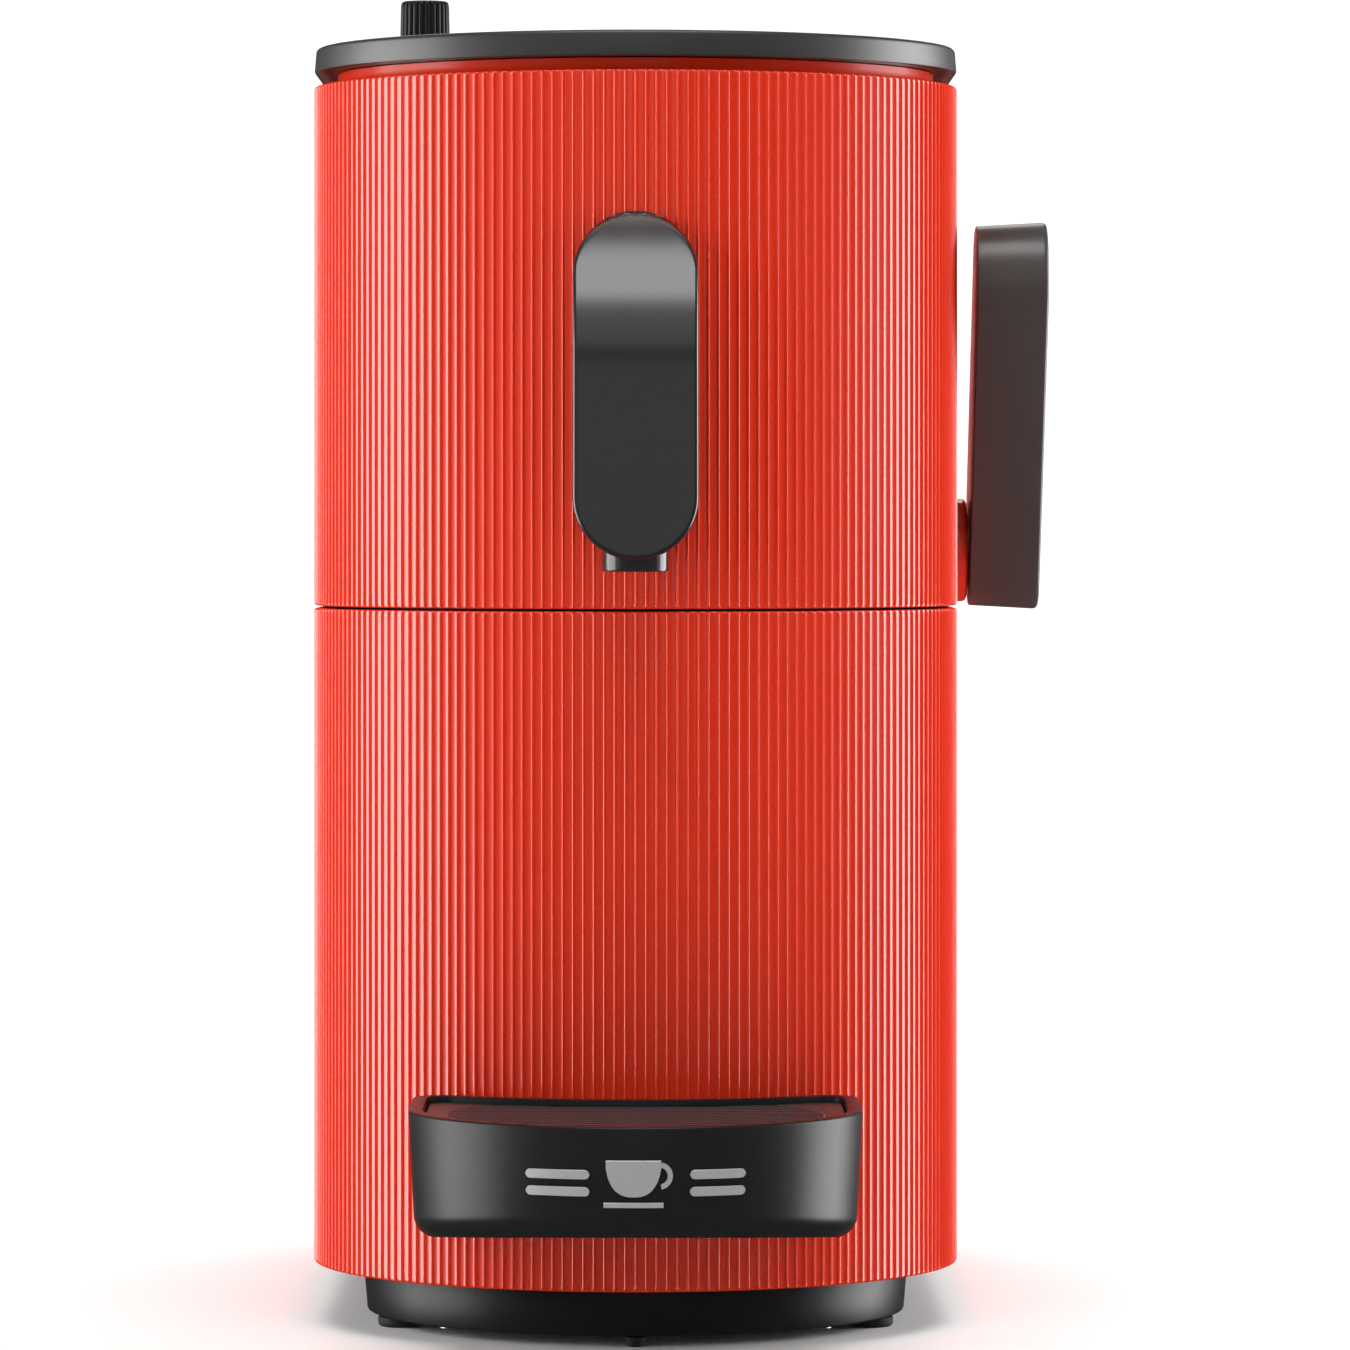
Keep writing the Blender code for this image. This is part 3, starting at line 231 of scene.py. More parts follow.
def rounded_top(inset, z, radius, steps):
    """(inset, z) points of an outer edge that is rounded from the side in to the top face."""
    turns = [math.pi / 2 * i / steps for i in range(steps + 1)]
    return [(inset + radius * (1 - math.cos(t)), z - radius * (1 - math.sin(t))) for t in turns]


# --- the ribbed wall ----------------------------------------------------------------------------

def wall_at(s):
    """Point and outward direction on the body's wall, s mm round from the middle of its front."""
    side, run = math.copysign(1, s), abs(s)
    if run <= QUARTER:
        t = run / BODY_R
        n = (side * math.sin(t), -math.cos(t))
        return (n[0] * BODY_R, n[1] * BODY_R), n
    if run <= QUARTER + BODY_LENGTH:
        return (side * BODY_R, run - QUARTER), (side, 0.0)
    t = (run - QUARTER - BODY_LENGTH) / BODY_R
    n = (side * math.cos(t), math.sin(t))
    return (n[0] * BODY_R, BODY_LENGTH + n[1] * BODY_R), n


def ribbed(start, end):
    """Points along the wall as (place, outward, ridge height 0 to 1, edge inset), with its two
    upright edges rounded and no ridge on them."""
    edge = ((0.0, 0.45), (0.12, 0.2), (0.3, 0.05), (0.5, 0.0))
    land = 0.6
    points = [(start + d, 0.0, inset) for d, inset in edge]
    for rib in range(math.ceil(start / RIB_PITCH) - 1, math.floor(end / RIB_PITCH) + 2):
        for phase, height in RIB_PROFILE:
            s = (rib + phase) * RIB_PITCH
            if start + land < s < end - land:
                points.append((s, height, 0.0))
    points += [(end - d, 0.0, inset) for d, inset in reversed(edge)]
    return [(*wall_at(s), height, inset) for s, height, inset in points]


def end_rows(low, high):
    """Heights of the wall's rows, each with how far it is from the nearer end."""
    near = (0.0, 0.1, 0.3, 0.6, 1.0)
    return [(low + d, d) for d in near] + [(high - d, d) for d in reversed(near)]


def rib_offset(height, from_end):
    """How far in from the body's radius a point lies. Ridges and lands both round off at an end,
    and the ridges more."""
    def round_off(radius):
        short = radius - min(from_end, radius)
        return radius - math.sqrt(radius ** 2 - short ** 2)
    return (1 - height) * (RIB_DEPTH + round_off(LAND_EDGE)) + height * round_off(RIDGE_EDGE)


def wall_columns(points, low, high):
    """Upright sections of a shell, one for each point along it: outside face, then inside face."""
    rows = end_rows(low, high)
    columns = []
    for (x, y), (nx, ny), height, inset in points:
        column = []
        for z, from_end in rows:
            back = rib_offset(height, from_end) + inset
            column.append((x - nx * back, y - ny * back, z))
        for z in (high, low):
            column.append((x - nx * WALL, y - ny * WALL, z))
        columns.append(column)
    return columns


def wall_rings(points, rows):
    """Level rings of a ribbed wall closed by its chord; rows are (height, distance from an end)."""
    rings = []
    for z, from_end in rows:
        ring = []
        for (x, y), (nx, ny), height, inset in points:
            back = rib_offset(height, from_end) + inset
            ring.append((x - nx * back, y - ny * back, z))
        rings.append(ring)
    return rings


# --- making pieces ------------------------------------------------------------------------------

SHARP_ANGLE = 35.0
EDGE_ANGLE = 40.0


def shade(obj):
    """Shade a piece smooth, but for its sharp edges."""
    obj.data.shade_smooth()
    obj.data.set_sharp_from_angle(angle=math.radians(SHARP_ANGLE))


def piece(obj, slot, body, *nodes, finish=None):
    """Give a piece the look of its finish, or else of its slot, attach it to the body that it rides on
    and hide the nodes it replaces. A finish is a look of its own within the slot."""
    obj.data.materials.clear()
    obj.data.materials.append(LOOKS[finish or slot])
    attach(obj, body)
    if nodes:
        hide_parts(*nodes)
    return obj


def skin(name, rings, closed=False):
    """Join rings with the same number of points. Closed joins the last ring to the first; else
    both end rings are capped."""
    count, rows = len(rings[0]), len(rings)
    points = [CENTRE + Vector(p) * MM for ring in rings for p in ring]
    faces = []
    for low in range(rows if closed else rows - 1):
        high = (low + 1) % rows
        for i in range(count):
            j = (i + 1) % count
            faces.append((low * count + i, low * count + j, high * count + j, high * count + i))
    if not closed:
        faces.append(tuple(range(count)))
        faces.append(tuple(range((rows - 1) * count, rows * count)))
    return mesh_object(name, points, faces)


def mesh_object(name, points, faces):
    """An object from points in metres and faces, with double points merged and normals outward."""
    data = bpy.data.meshes.new(name)
    data.from_pydata(points, [], faces)
    mesh = bmesh.new()
    mesh.from_mesh(data)
    bmesh.ops.remove_doubles(mesh, verts=mesh.verts[:], dist=1e-7)
    bmesh.ops.recalc_face_normals(mesh, faces=mesh.faces[:])
    mesh.to_mesh(data)
    mesh.free()
    obj = bpy.data.objects.new(name, data)
    bpy.context.scene.collection.objects.link(obj)
    shade(obj)
    return obj


def turned(name, profile, centre, along="Z", closed=False, segments=72):
    """Turn a profile of (radius, height) about an axis through centre; heights are absolute."""
    cx, cy, cz = centre
    put = {
        "Z": lambda r, t, h: (cx + r * math.cos(t), cy + r * math.sin(t), h),
        "X": lambda r, t, h: (h, cy + r * math.cos(t), cz + r * math.sin(t)),
        "Y": lambda r, t, h: (cx + r * math.sin(t), h, cz + r * math.cos(t)),
    }[along]
    turns = [2 * math.pi * i / segments for i in range(segments)]
    return skin(name, [[put(r, t, h) for t in turns] for r, h in profile], closed)


def hole(radius, low, high, centre, along="Z", segments=72):
    """A round cutter through centre, from low to high along an axis."""
    return turned("cut_hole", [(radius, low), (radius, high)], centre, along, segments=segments)


def prism(name, outline, low, high, along="Z"):
    """Push an outline from low to high along an axis."""
    put = {
        "Z": lambda a, b, h: (a, b, h),
        "X": lambda a, b, h: (h, a, b),
        "Y": lambda a, b, h: (a, h, b),
    }[along]
    return skin(name, [[put(a, b, h) for a, b in outline] for h in (low, high)])


def box(name, x, y, z):
    """A square-edged box from its (low, high) on each axis."""
    return prism(name, [(x[0], y[0]), (x[1], y[0]), (x[1], y[1]), (x[0], y[1])], *z)


def rounded_box(name, x, y, z, radius, along):
    """A box with its four long edges rounded, made along one axis."""
    span = {"X": (y, z, x), "Y": (x, z, y)}[along]
    (a0, a1), (b0, b1), (low, high) = span
    corners = ((a1 - radius, b1 - radius, 0), (a0 + radius, b1 - radius, 90),
               (a0 + radius, b0 + radius, 180), (a1 - radius, b0 + radius, 270))
    outline = [p for a, b, turn in corners for p in arc(a, b, radius, turn, turn + 90, 6)]
    return prism(name, outline, low, high, along)


def cut(obj, *tools):
    """Cut tools from a piece, and keep the result as its mesh."""
    for tool in tools:
        modifier = obj.modifiers.new("cut", "BOOLEAN")
        modifier.operation = "DIFFERENCE"
        modifier.solver = "EXACT"
        modifier.object = tool
    settle(obj)
    for tool in tools:
        bpy.data.objects.remove(tool, do_unlink=True)
    shade(obj)
    return obj


def settle(obj):
    """Apply a piece's modifiers."""
    bpy.context.view_layer.update()
    settled = obj.evaluated_get(bpy.context.evaluated_depsgraph_get())
    shape = bpy.data.meshes.new_from_object(settled)
    obj.modifiers.clear()
    obj.data = shape


def bevel(obj, width):
    """Round a piece's edges, and keep the result as its mesh."""
    modifier = obj.modifiers.new("edges", "BEVEL")
    modifier.width = width * MM
    modifier.segments = 2
    modifier.limit_method = "ANGLE"
    modifier.angle_limit = math.radians(EDGE_ANGLE)
    settle(obj)
    shade(obj)
    return obj


# --- shells -------------------------------------------------------------------------------------

BACK_TILT = math.asin((BODY_BACK - BODY_LENGTH) / BODY_R)
BACK_RUN = QUARTER + BODY_LENGTH + BODY_R * BACK_TILT
BACK_X = BODY_R * math.cos(BACK_TILT)
DRAWER_EDGE_Y = 10.0
SHELL_EDGE_Y = 10.6             # leaves a gap behind the drawer's edge
ALL_ROUND = 2 * (QUARTER * 2 + BODY_LENGTH)
TANK_RUN = QUARTER + BODY_LENGTH + BODY_R * math.asin((TANK_FRONT - BODY_LENGTH) / BODY_R)


def flat_back():
    """The wall's flat stretch across the back, from the right to the left."""
    half, steps = BACK_X - 1.6, 12
    return [((half - 2 * half * i / steps, BODY_BACK), (0.0, 1.0), 0.0, 0.0)
            for i in range(steps + 1)]


def make_upper_shell():
    """The fixed upper shell, ribbed all round its front and sides and flat across the back."""
    low, high = level("upper_shell", 0), level("upper_shell", 1)
    points = ribbed(-BACK_RUN, BACK_RUN) + flat_back()
    shell = skin("shell_upper", wall_columns(points, low, high), closed=True)
    cut(shell, hole(SHAFT_HOLE_R, 70.0, 90.0, (0, SHAFT_Y, SHAFT_Z), "X"))
    piece(shell, "red_body", "machine", "upper_shell")


def make_lower_shells():
    """The drawer's ribbed front and the fixed shell behind it."""
    low, high = level("drawer_front", 0), level("drawer_front", 1)
    reach = QUARTER + DRAWER_EDGE_Y
    front = skin("shell_drawer", wall_columns(ribbed(-reach, reach), low, high))
    piece(front, "red_body", "drawer", "drawer_front")
    start = QUARTER + SHELL_EDGE_Y
    points = ribbed(start, BACK_RUN) + flat_back() + ribbed(-BACK_RUN, -start)
    rear = skin("shell_lower_rear", wall_columns(points, low, high))
    cut(rear, hole(HOSE_HOLE_R, 175.0, 190.0, (HOSE_X, 0, HOSE_Z), "Y"))
    piece(rear, "red_body", "machine", "lower_rear_shell")


def make_drawer_floor():
    """The drawer's floor that the bin stands on: round at the front, narrower behind a step."""
    low, high = 18.6, 20.6
    wide, narrow, step, back = 79.6, 68.0, -34.0, 62.0
    turn = math.degrees(math.asin(step / wide))
    outline = [*arc(0, 0, wide, 180 - turn, 360 + turn, 72), (narrow, step), (narrow, back),
               (-narrow, back), (-narrow, step)]
    floor = prism("drawer_floor", outline, low, high)
    piece(bevel(floor, 0.4), "black_satin", "drawer", "drawer_front")


def around_back():
    """The ribbed wall behind the tank's front face, from the right past the middle of the back to
    the left, and the smooth line that closes it inside."""
    past = 1.2                  # both halves run past the middle, and are trimmed back to it
    right = ribbed(TANK_RUN, ALL_ROUND / 2 + past)
    left = ribbed(-ALL_ROUND / 2 - past, -TANK_RUN)
    keep = RIB_PITCH / 2
    right = [p for p in right if p[3] == 0.0 and p[0][0] > -0.01 or p[0][0] > keep]
    left = [p for p in left if p[0][0] < -0.01 and (p[3] == 0.0 or p[0][0] < -keep)]
    outside = right + left
    inside = [((x - nx * WALL, max(y - ny * WALL, TANK_FRONT + WALL)), (nx, ny), 1.0, 0.0)
              for (x, y), (nx, ny), height, inset in outside]
    return outside, inside


def make_tank_base():
    """The ribbed housing under the tank, open at the foot."""
    low, high = level("tank_base", 0), level("tank_base", 1)
    outside, inside = around_back()
    rings = wall_rings(inside, [(high - WALL, PAST_ENDS), (low, PAST_ENDS)])
    rings += wall_rings(outside, end_rows(low, high))
    base = skin("housing_rear", rings)
    cut(base, box("cut_panel", (-31.0, 31.0), (225.0, 250.0), (26.0, 54.0)),
        hole(SOCKET_HOLE_R, 60.0, 75.0, (VALVE_X, VALVE_Y, 0)),
        hole(HOSE_HOLE_R, 180.0, 195.0, (HOSE_X, 0, HOSE_Z), "Y"))
    piece(base, "red_body", "machine", "tank_base")


def make_tank():
    """The ribbed tank, open at the top, and the two ears that hold its lid's pin."""
    low, high = level("tank_base", 1) + 0.6, shell_high.z / MM
    outside, inside = around_back()
    rings = wall_rings(outside, end_rows(low, high))
    rings += wall_rings(inside, [(high, PAST_ENDS), (low + WALL, PAST_ENDS)])
    tank = skin("tank_ribbed", rings)
    cut(tank, hole(VALVE_HOLE_R, 60.0, 80.0, (VALVE_X, VALVE_Y, 0)))
    piece(tank, "smoked_clear", "tank", "water_tank")
    for side, sign in (("left", -1), ("right", 1)):
        x = sorted((sign * 50.0, sign * 60.0))
        ear = rounded_box(f"tank_ear_{side}", x, (TANK_FRONT, 188.6), (309.0, 325.0), 1.4, "X")
        piece(bevel(ear, 0.3), "smoked_clear", "tank", "water_tank")


# --- top ----------------------------------------------------------------------------------------

def make_collar():
    """The red neck, filleted up from the shell's top edge to the underside of the black rim."""
    low, high = level("top_collar", 0), level("top_collar", 1)
    shoulder = shell_high.z / MM - 0.35
    profile = [(2.7, low), (2.7, shoulder - 0.5), (3.2, shoulder), (4.4, shoulder + 0.06),
               (5.3, shoulder + 0.45), (5.9, shoulder + 1.15), (6.15, shoulder + 2.1), (6.2, high),
               (10.2, high), (10.2, low)]
    collar = skin("collar", [at(z, body_plan(inset)) for inset, z in profile], closed=True)
    piece(collar, "red_body", "machine", "top_collar")


def rim_profile(low, high):
    """(inset, z) of the overhanging rim: a small foot radius, a softly rounded top, and the deck."""
    profile = [(RIM_INSET + 0.6, low), (RIM_INSET + 0.15, low + 0.15), (RIM_INSET, low + 0.6)]
    profile += rounded_top(RIM_INSET + 0.35, high, 1.15, 5)
    profile += [(RIM_INSET + 2.6, high), (RIM_INSET + 3.2, high - 0.18), (RIM_INSET + 3.45, high - 0.7),
                (RIM_INSET + 3.5, DECK_Z + 0.7), (RIM_INSET + 3.7, DECK_Z + 0.2),
                (RIM_INSET + 4.3, DECK_Z)]
    return profile


def make_top_cover():
    """The black rim and the deck inside it."""
    low, high = level("top_cover", 0), level("top_cover", 1)
    cover = skin("rim_and_deck", [at(z, body_plan(i)) for i, z in rim_profile(low, high)])
    below, above = 310.0, 330.0
    cut(cover, hole(BALL_HOLE_R, below, above, (0, BALL_Y, 0), segments=96),
        hole(KNOB_HOLE_R, below, above, (KNOB_X, KNOB_Y, 0)),
        hole(BUTTON_HOLE_R, below, above, (BUTTON_X, BUTTON_Y, 0)),
        hole(LENS_HOLE_R, below, above, (LENS_X, LENS_Y, 0)))
    piece(cover, "black_satin", "machine", "top_cover", finish="dark_grey")


def make_lid():
    """The tank's lid: its rim carries on the machine's, above a plug that sits in the tank."""
    low, high = level("tank_lid", 0), level("tank_lid", 1)
    rim_low = level("top_cover", 0)
    rings = [at(low, rear_plan(6.4)), at(rim_low, rear_plan(6.4))]
    rings += [at(z, rear_plan(i, LID_FRONT)) for i, z in rim_profile(rim_low, high)]
    lid = skin("lid", rings)
    notches = [box(f"cut_notch_{x}", (x - 5.5, x + 5.5), (180.0, 190.2), (310.0, 330.0))
               for x in (-55.0, 55.0)]
    cut(lid, *notches)
    cut(lid, hole(HINGE_HOLE_R, -66.3, 66.3, (0, HINGE_Y, HINGE_Z), "X", segments=24))
    piece(lid, "black_satin", "lid", "tank_lid", finish="dark_grey")


def make_funnel():
    """The coffee balls' inlet: a lip that lies on the deck, and a well that narrows below it."""
    profile = [(21.8, 323.0), (22.1, 323.4), (22.8, 323.6), (26.2, 323.4), (26.8, 323.0), (27.0, 322.2),
               (23.6, 322.2), (23.6, 317.0), (20.5, 300.3), (18.6, 300.3), (18.5, 300.8),
               (21.2, 316.0)]
    funnel = turned("inlet_funnel", profile, (0, BALL_Y, 0), closed=True, segments=96)
    piece(funnel, "black_gloss", "machine", "ball_funnel")


def make_knob():
    """The fluted knob; its flutes fade out on its rounded top."""
    flutes, samples, sharpness, deep, shallow = 24, 8, 0.6, 0.5, 0.175
    count = flutes * samples
    turns = [2 * math.pi * i / count for i in range(count)]
    wave = [abs(math.sin(math.pi * i / samples)) ** sharpness for i in range(count)]
    sections = ((6.55, 322.5, deep), (6.75, 322.9, deep), (6.45, 340.6, deep), (6.3, 341.3, deep),
                (5.95, 341.8, shallow), (5.4, 342.0, shallow), (4.7, 341.9, 0.0), (4.4, 341.6, 0.0))
    rings = []
    for radius, z, depth in sections:
        radii = [radius - depth * (1 - w) for w in wave]
        rings.append([(KNOB_X + r * math.cos(t), KNOB_Y + r * math.sin(t), z)
                      for r, t in zip(radii, turns)])
    piece(skin("knob", rings), "black_satin", "selector", "selector_knob")


def make_button_and_lens():
    cap = [(9.6, 313.0), (9.6, 315.4), (8.0, 315.4), (8.0, 323.3), (7.8, 323.8), (7.4, 324.1),
           (6.6, 324.2), (5.6, 323.9), (3.0, 323.6), (0.4, 323.5)]
    piece(turned("button", cap, (BUTTON_X, BUTTON_Y, 0)), "bright_metal", "button", "brew_button")
    dome = [(3.0, 318.0), (3.0, 321.8), (2.6, 322.05), (1.6, 322.1), (0.3, 322.1)]
    lens = turned("lens", dome, (LENS_X, LENS_Y, 0), segments=48)
    piece(lens, "lens", "machine", "status_lens")


# --- spout --------------------------------------------------------------------------------------

SPOUT_Z0, SPOUT_Z1 = 194.8, 280.5
SPOUT_FOOT_Y, SPOUT_LEAN, SPOUT_BEND_Z = -111.0, 4.0, 240.0


def spout_front(z):
    """How far forward the spout's face is at a height: nearly upright low down, then curving back."""
    above = max(0.0, z - SPOUT_BEND_Z)
    low = SPOUT_FOOT_Y + (z - SPOUT_Z0) * math.tan(math.radians(SPOUT_LEAN))
    return low + 0.0128 * above ** 2 + 0.04 * above


def spout_outline(inset):
    """The spout's stadium as (x, z), from the middle of its foot up its right side and back down."""
    radius = SPOUT_HALF - inset
    low, high = SPOUT_Z0 + SPOUT_HALF, SPOUT_Z1 - SPOUT_HALF
    side = [(radius, low + (high - low) * i / 12) for i in range(1, 12)]
    foot = arc(0, low, radius, -90, 0, 24)
    top = arc(0, high, radius, 0, 90, 24)
    right = foot + side + top
    return right + [(-x, z) for x, z in reversed(right[1:-1])]


def spout_ring(inset, back_r, behind):
    """One ring of the spout: on a cylinder of radius back_r where behind is None, else that far
    behind the spout's face, and never behind the cylinder."""
    ring, clear = [], 0.05
    for x, z in spout_outline(inset):
        on_body = -math.sqrt(back_r ** 2 - x ** 2)
        y = on_body if behind is None else min(spout_front(z) + behind, on_body - clear)
        ring.append((x, y, z))
    return ring


def close_across(ring, count):
    """Faces that close a symmetrical ring by joining each point to its mirror image."""
    first = ring * count
    faces = []
    for i in range(count // 2):
        face = [first + i, first + i + 1, first + (count - i - 1) % count, first + (count - i) % count]
        faces.append(tuple(dict.fromkeys(face)))
    return faces


def make_spout():
    """The spout's cover and the nozzle under it. The cover is a hollow cup that is open towards the
    body, and its face has a rounded edge."""
    body_r, side, face = BODY_R + 0.3, 2.2, 2.4
    edge = ((0.0, 1.0), (0.08, 0.6), (0.3, 0.27), (0.6, 0.07), (1.0, 0.0))
    rings = [spout_ring(side, 78.0, face), spout_ring(side, 80.0, None)]
    rings += [spout_ring(0.0, body_r, None), spout_ring(0.15, body_r, 3.0)]
    rings += [spout_ring(0.3 + inset, body_r, behind) for inset, behind in edge]
    rings += [spout_ring(inset, body_r, 0.0) for inset in (2.2, 4.0, 6.5, 9.0, 12.0, 15.0, 15.45)]
    count, last = len(rings[0]), len(rings) - 1
    points = [CENTRE + Vector(p) * MM for ring in rings for p in ring]
    faces = [(a * count + i, a * count + (i + 1) % count, (a + 1) * count + (i + 1) % count,
              (a + 1) * count + i) for a in range(last) for i in range(count)]
    faces += close_across(last, count) + close_across(0, count)
    cover = mesh_object("spout", points, faces)
    cut(cover, hole(NOZZLE_HOLE_R, 180.0, 212.0, (0, NOZZLE_Y, 0)))
    piece(cover, "black_gloss", "machine", "spout_cover")
    nozzle = [(5.0, 192.5), (5.3, 192.1), (7.6, 192.1), (8.0, 192.3), (8.2, 192.8), (8.2, 208.0),
              (3.6, 212.0), (3.6, 218.0), (2.0, 218.0), (2.0, 205.0), (5.0, 203.0)]
    piece(turned("nozzle", nozzle, (0, NOZZLE_Y, 0), closed=True), "black_satin", "machine",
          "outlet_nozzle", finish="nozzle_black")


# --- lever --------------------------------------------------------------------------------------

def lever_ring(radius, x):
    """The lever's outline, round at both ends, at a place across the machine."""
    lean = math.radians(LEVER_LEAN)
    top_y = SHAFT_Y - LEVER_LENGTH * math.sin(lean)
    top_z = SHAFT_Z + LEVER_LENGTH * math.cos(lean)
    upper = arc(top_y, top_z, radius, LEVER_LEAN, LEVER_LEAN + 180, 48)
    lower = arc(SHAFT_Y, SHAFT_Z, radius, LEVER_LEAN + 180, LEVER_LEAN + 360, 48)
    return [(x, y, z) for y, z in upper + lower]


def make_lever():
    """The lever, the neck that joins it to its shaft, and the round boss that it turns in."""
    inner, outer = 87.1, 105.3
    profile = [(13.8, inner), (14.15, inner + 0.08), (14.35, inner + 0.25), (14.42, inner + 0.6),
               (15.3, outer - 1.3), (15.2, outer - 0.7), (14.9, outer - 0.3), (14.45, outer - 0.06),
               (13.9, outer)]
    arm = skin("lever", [lever_ring(r, x) for r, x in profile])
    piece(arm, "black_satin", "lever", "lever_arm", finish="lever_grey")
    axis = (0, SHAFT_Y, SHAFT_Z)
    neck = [(6.3, 86.95), (9.5, 86.95), (9.5, 88.0), (6.3, 88.0)]
    piece(turned("lever_neck", neck, axis, "X", closed=True), "black_gloss", "lever", "lever_arm")
    boss = [(6.6, 82.7), (13.4, 82.7), (13.4, 85.4), (13.3, 85.9), (13.0, 86.3), (12.5, 86.55),
            (11.9, 86.65), (6.6, 86.65)]
    piece(turned("boss", boss, axis, "X", closed=True), "red_body", "machine", "lever_boss")


# --- drip tray ----------------------------------------------------------------------------------

def make_tray():
    """The tray: a filleted foot on the sloping underside, an upright rim, a ledge for the grid and
    the basin below it."""
    high, ledge, basin = level("drip_tray", 1), 59.1, 42.0
    front_y, fillet = TRAY_Y - TRAY_R, 5.6
    rings = []
    for degrees in range(10, 91, 8):
        turn = math.radians(degrees)
        rise = fillet * (1 - math.cos(turn))
        rings.append([(x, y, TRAY_FOOT_Z + rise - TRAY_FALL * (y - front_y))
                      for x, y in tray_plan(TRAY_DRAW + fillet * (1 - math.sin(turn)))])
    profile = rounded_top(0.0, high, 0.7, 4)
    profile += [(3.0, high), (3.4, high - 0.15), (3.6, high - 0.6), (3.6, ledge), (6.0, ledge),
                (6.3, ledge - 0.5), (7.2, basin + 2.0), (8.0, basin + 0.3), (9.6, basin)]
    tray = skin("tray", rings + [at(z, tray_plan(i)) for i, z in profile])
    piece(tray, "black_satin", "tray", "drip_tray")


def tray_face(z):
    """The radius of the tray's front at a height, from its draft."""
    top, tall = 62.8, 26.0
    return TRAY_R - (top - z) * TRAY_DRAW / tall


def on_tray_face(u, z, proud):
    """A point on the tray's round front, u across from its middle, or that much proud of it."""
    r = tray_face(z) + proud + 0.02
    return (r * math.sin(u / TRAY_R), TRAY_Y - r * math.cos(u / TRAY_R), z)


def emblem_strip(name, spans):
    """A thin raised strip on the tray's round front, from (across, low, high) spans in mm."""
    columns = []
    for u, low, high in spans:
        section = ((low, 0.0), (low, 0.3), (low + 0.1, 0.42), (high - 0.1, 0.42), (high, 0.3),
                   (high, 0.0))
        columns.append([on_tray_face(u, z, proud) for z, proud in section])
    return skin(name, columns)


def across(start, end, steps):
    """Evenly spaced places from start to end, both included."""
    return [start + (end - start) * i / steps for i in range(steps + 1)]


def bar_end(from_end, half):
    """A bar's half height near its round end."""
    short = max(0.0, 1 - from_end / half)
    return half * math.sqrt(max(0.06, 1 - short ** 2))


def make_emblem():
    """A generic mark: a plain cup on a saucer, between two pairs of bars."""
    middle, bar, apart = 49.6, 1.1, 2.0
    spans = {}
    for side, start, end in (("left", -27.0, -11.0), ("right", 13.0, 27.0)):
        for row, rise in enumerate((apart, -apart)):
            halves = [(u, bar_end(min(u - start, end - u), bar)) for u in across(start, end, 40)]
            spans[f"emblem_bar_{side}_{row}"] = [
                (u, middle + rise - half, middle + rise + half) for u, half in halves]
    rim, wall, depth, cup_middle, cup_half, fullness = 55.0, 0.4, 8.2, -0.5, 6.6, 2.6
    spans["emblem_cup"] = [
        (u, rim - wall - depth * (1 - abs((u - cup_middle) / cup_half) ** fullness) ** 0.5, rim)
        for u in across(-7.0, 6.0, 32)]
    spans["emblem_saucer"] = [(u, 43.9, 45.1) for u in across(-7.6, 6.6, 20)]
    for name, columns in spans.items():
        piece(emblem_strip(name, columns), "bright_metal", "tray", "tray_badge",
              finish="silver_print")
    make_emblem_handle()


def make_emblem_handle():
    """The cup's handle: a raised strip bent in a bow."""
    handle_u, handle_z, inner, outer, proud = 5.6, 51.4, 2.0, 3.2, 0.35
    rings = []
    for degrees in across(-80, 80, 24):
        t = math.radians(degrees)
        section = ((inner, 0.0), (inner, proud), (outer, proud), (outer, 0.0))
        rings.append([on_tray_face(handle_u + reach * math.cos(t), handle_z + reach * math.sin(t), up)
                      for reach, up in section])
    piece(skin("emblem_handle", rings), "bright_metal", "tray", "tray_badge",
          finish="silver_print")


def make_grid():
    """The grid's plate, with slots across a round field."""
    low, high = level("tray_grid", 0), level("tray_grid", 1)
    profile = [(4.3, low), (4.1, low + 0.25), (4.1, high - 0.35), (4.2, high - 0.1), (4.45, high)]
    plate = skin("grid", [at(z, tray_plan(i)) for i, z in profile])
    field_y, field_r, pitch, slot_r = -113.0, 46.0, 5.0, 1.3
    slots = []
    for number in range(-8, 9):
        y = field_y + number * pitch
        half = math.sqrt(field_r ** 2 - (number * pitch) ** 2) - slot_r
        outline = arc(half, y, slot_r, -90, 90, 8) + arc(-half, y, slot_r, 90, 270, 8)
        slots.append(prism(f"cut_slot_{number}", outline, 55.0, 65.0))
    cut(plate, *slots)
    piece(bevel(plate, 0.22), "black_gloss", "grid", "tray_grid", finish="dark_grey")


# --- base, back and bin -------------------------------------------------------------------------

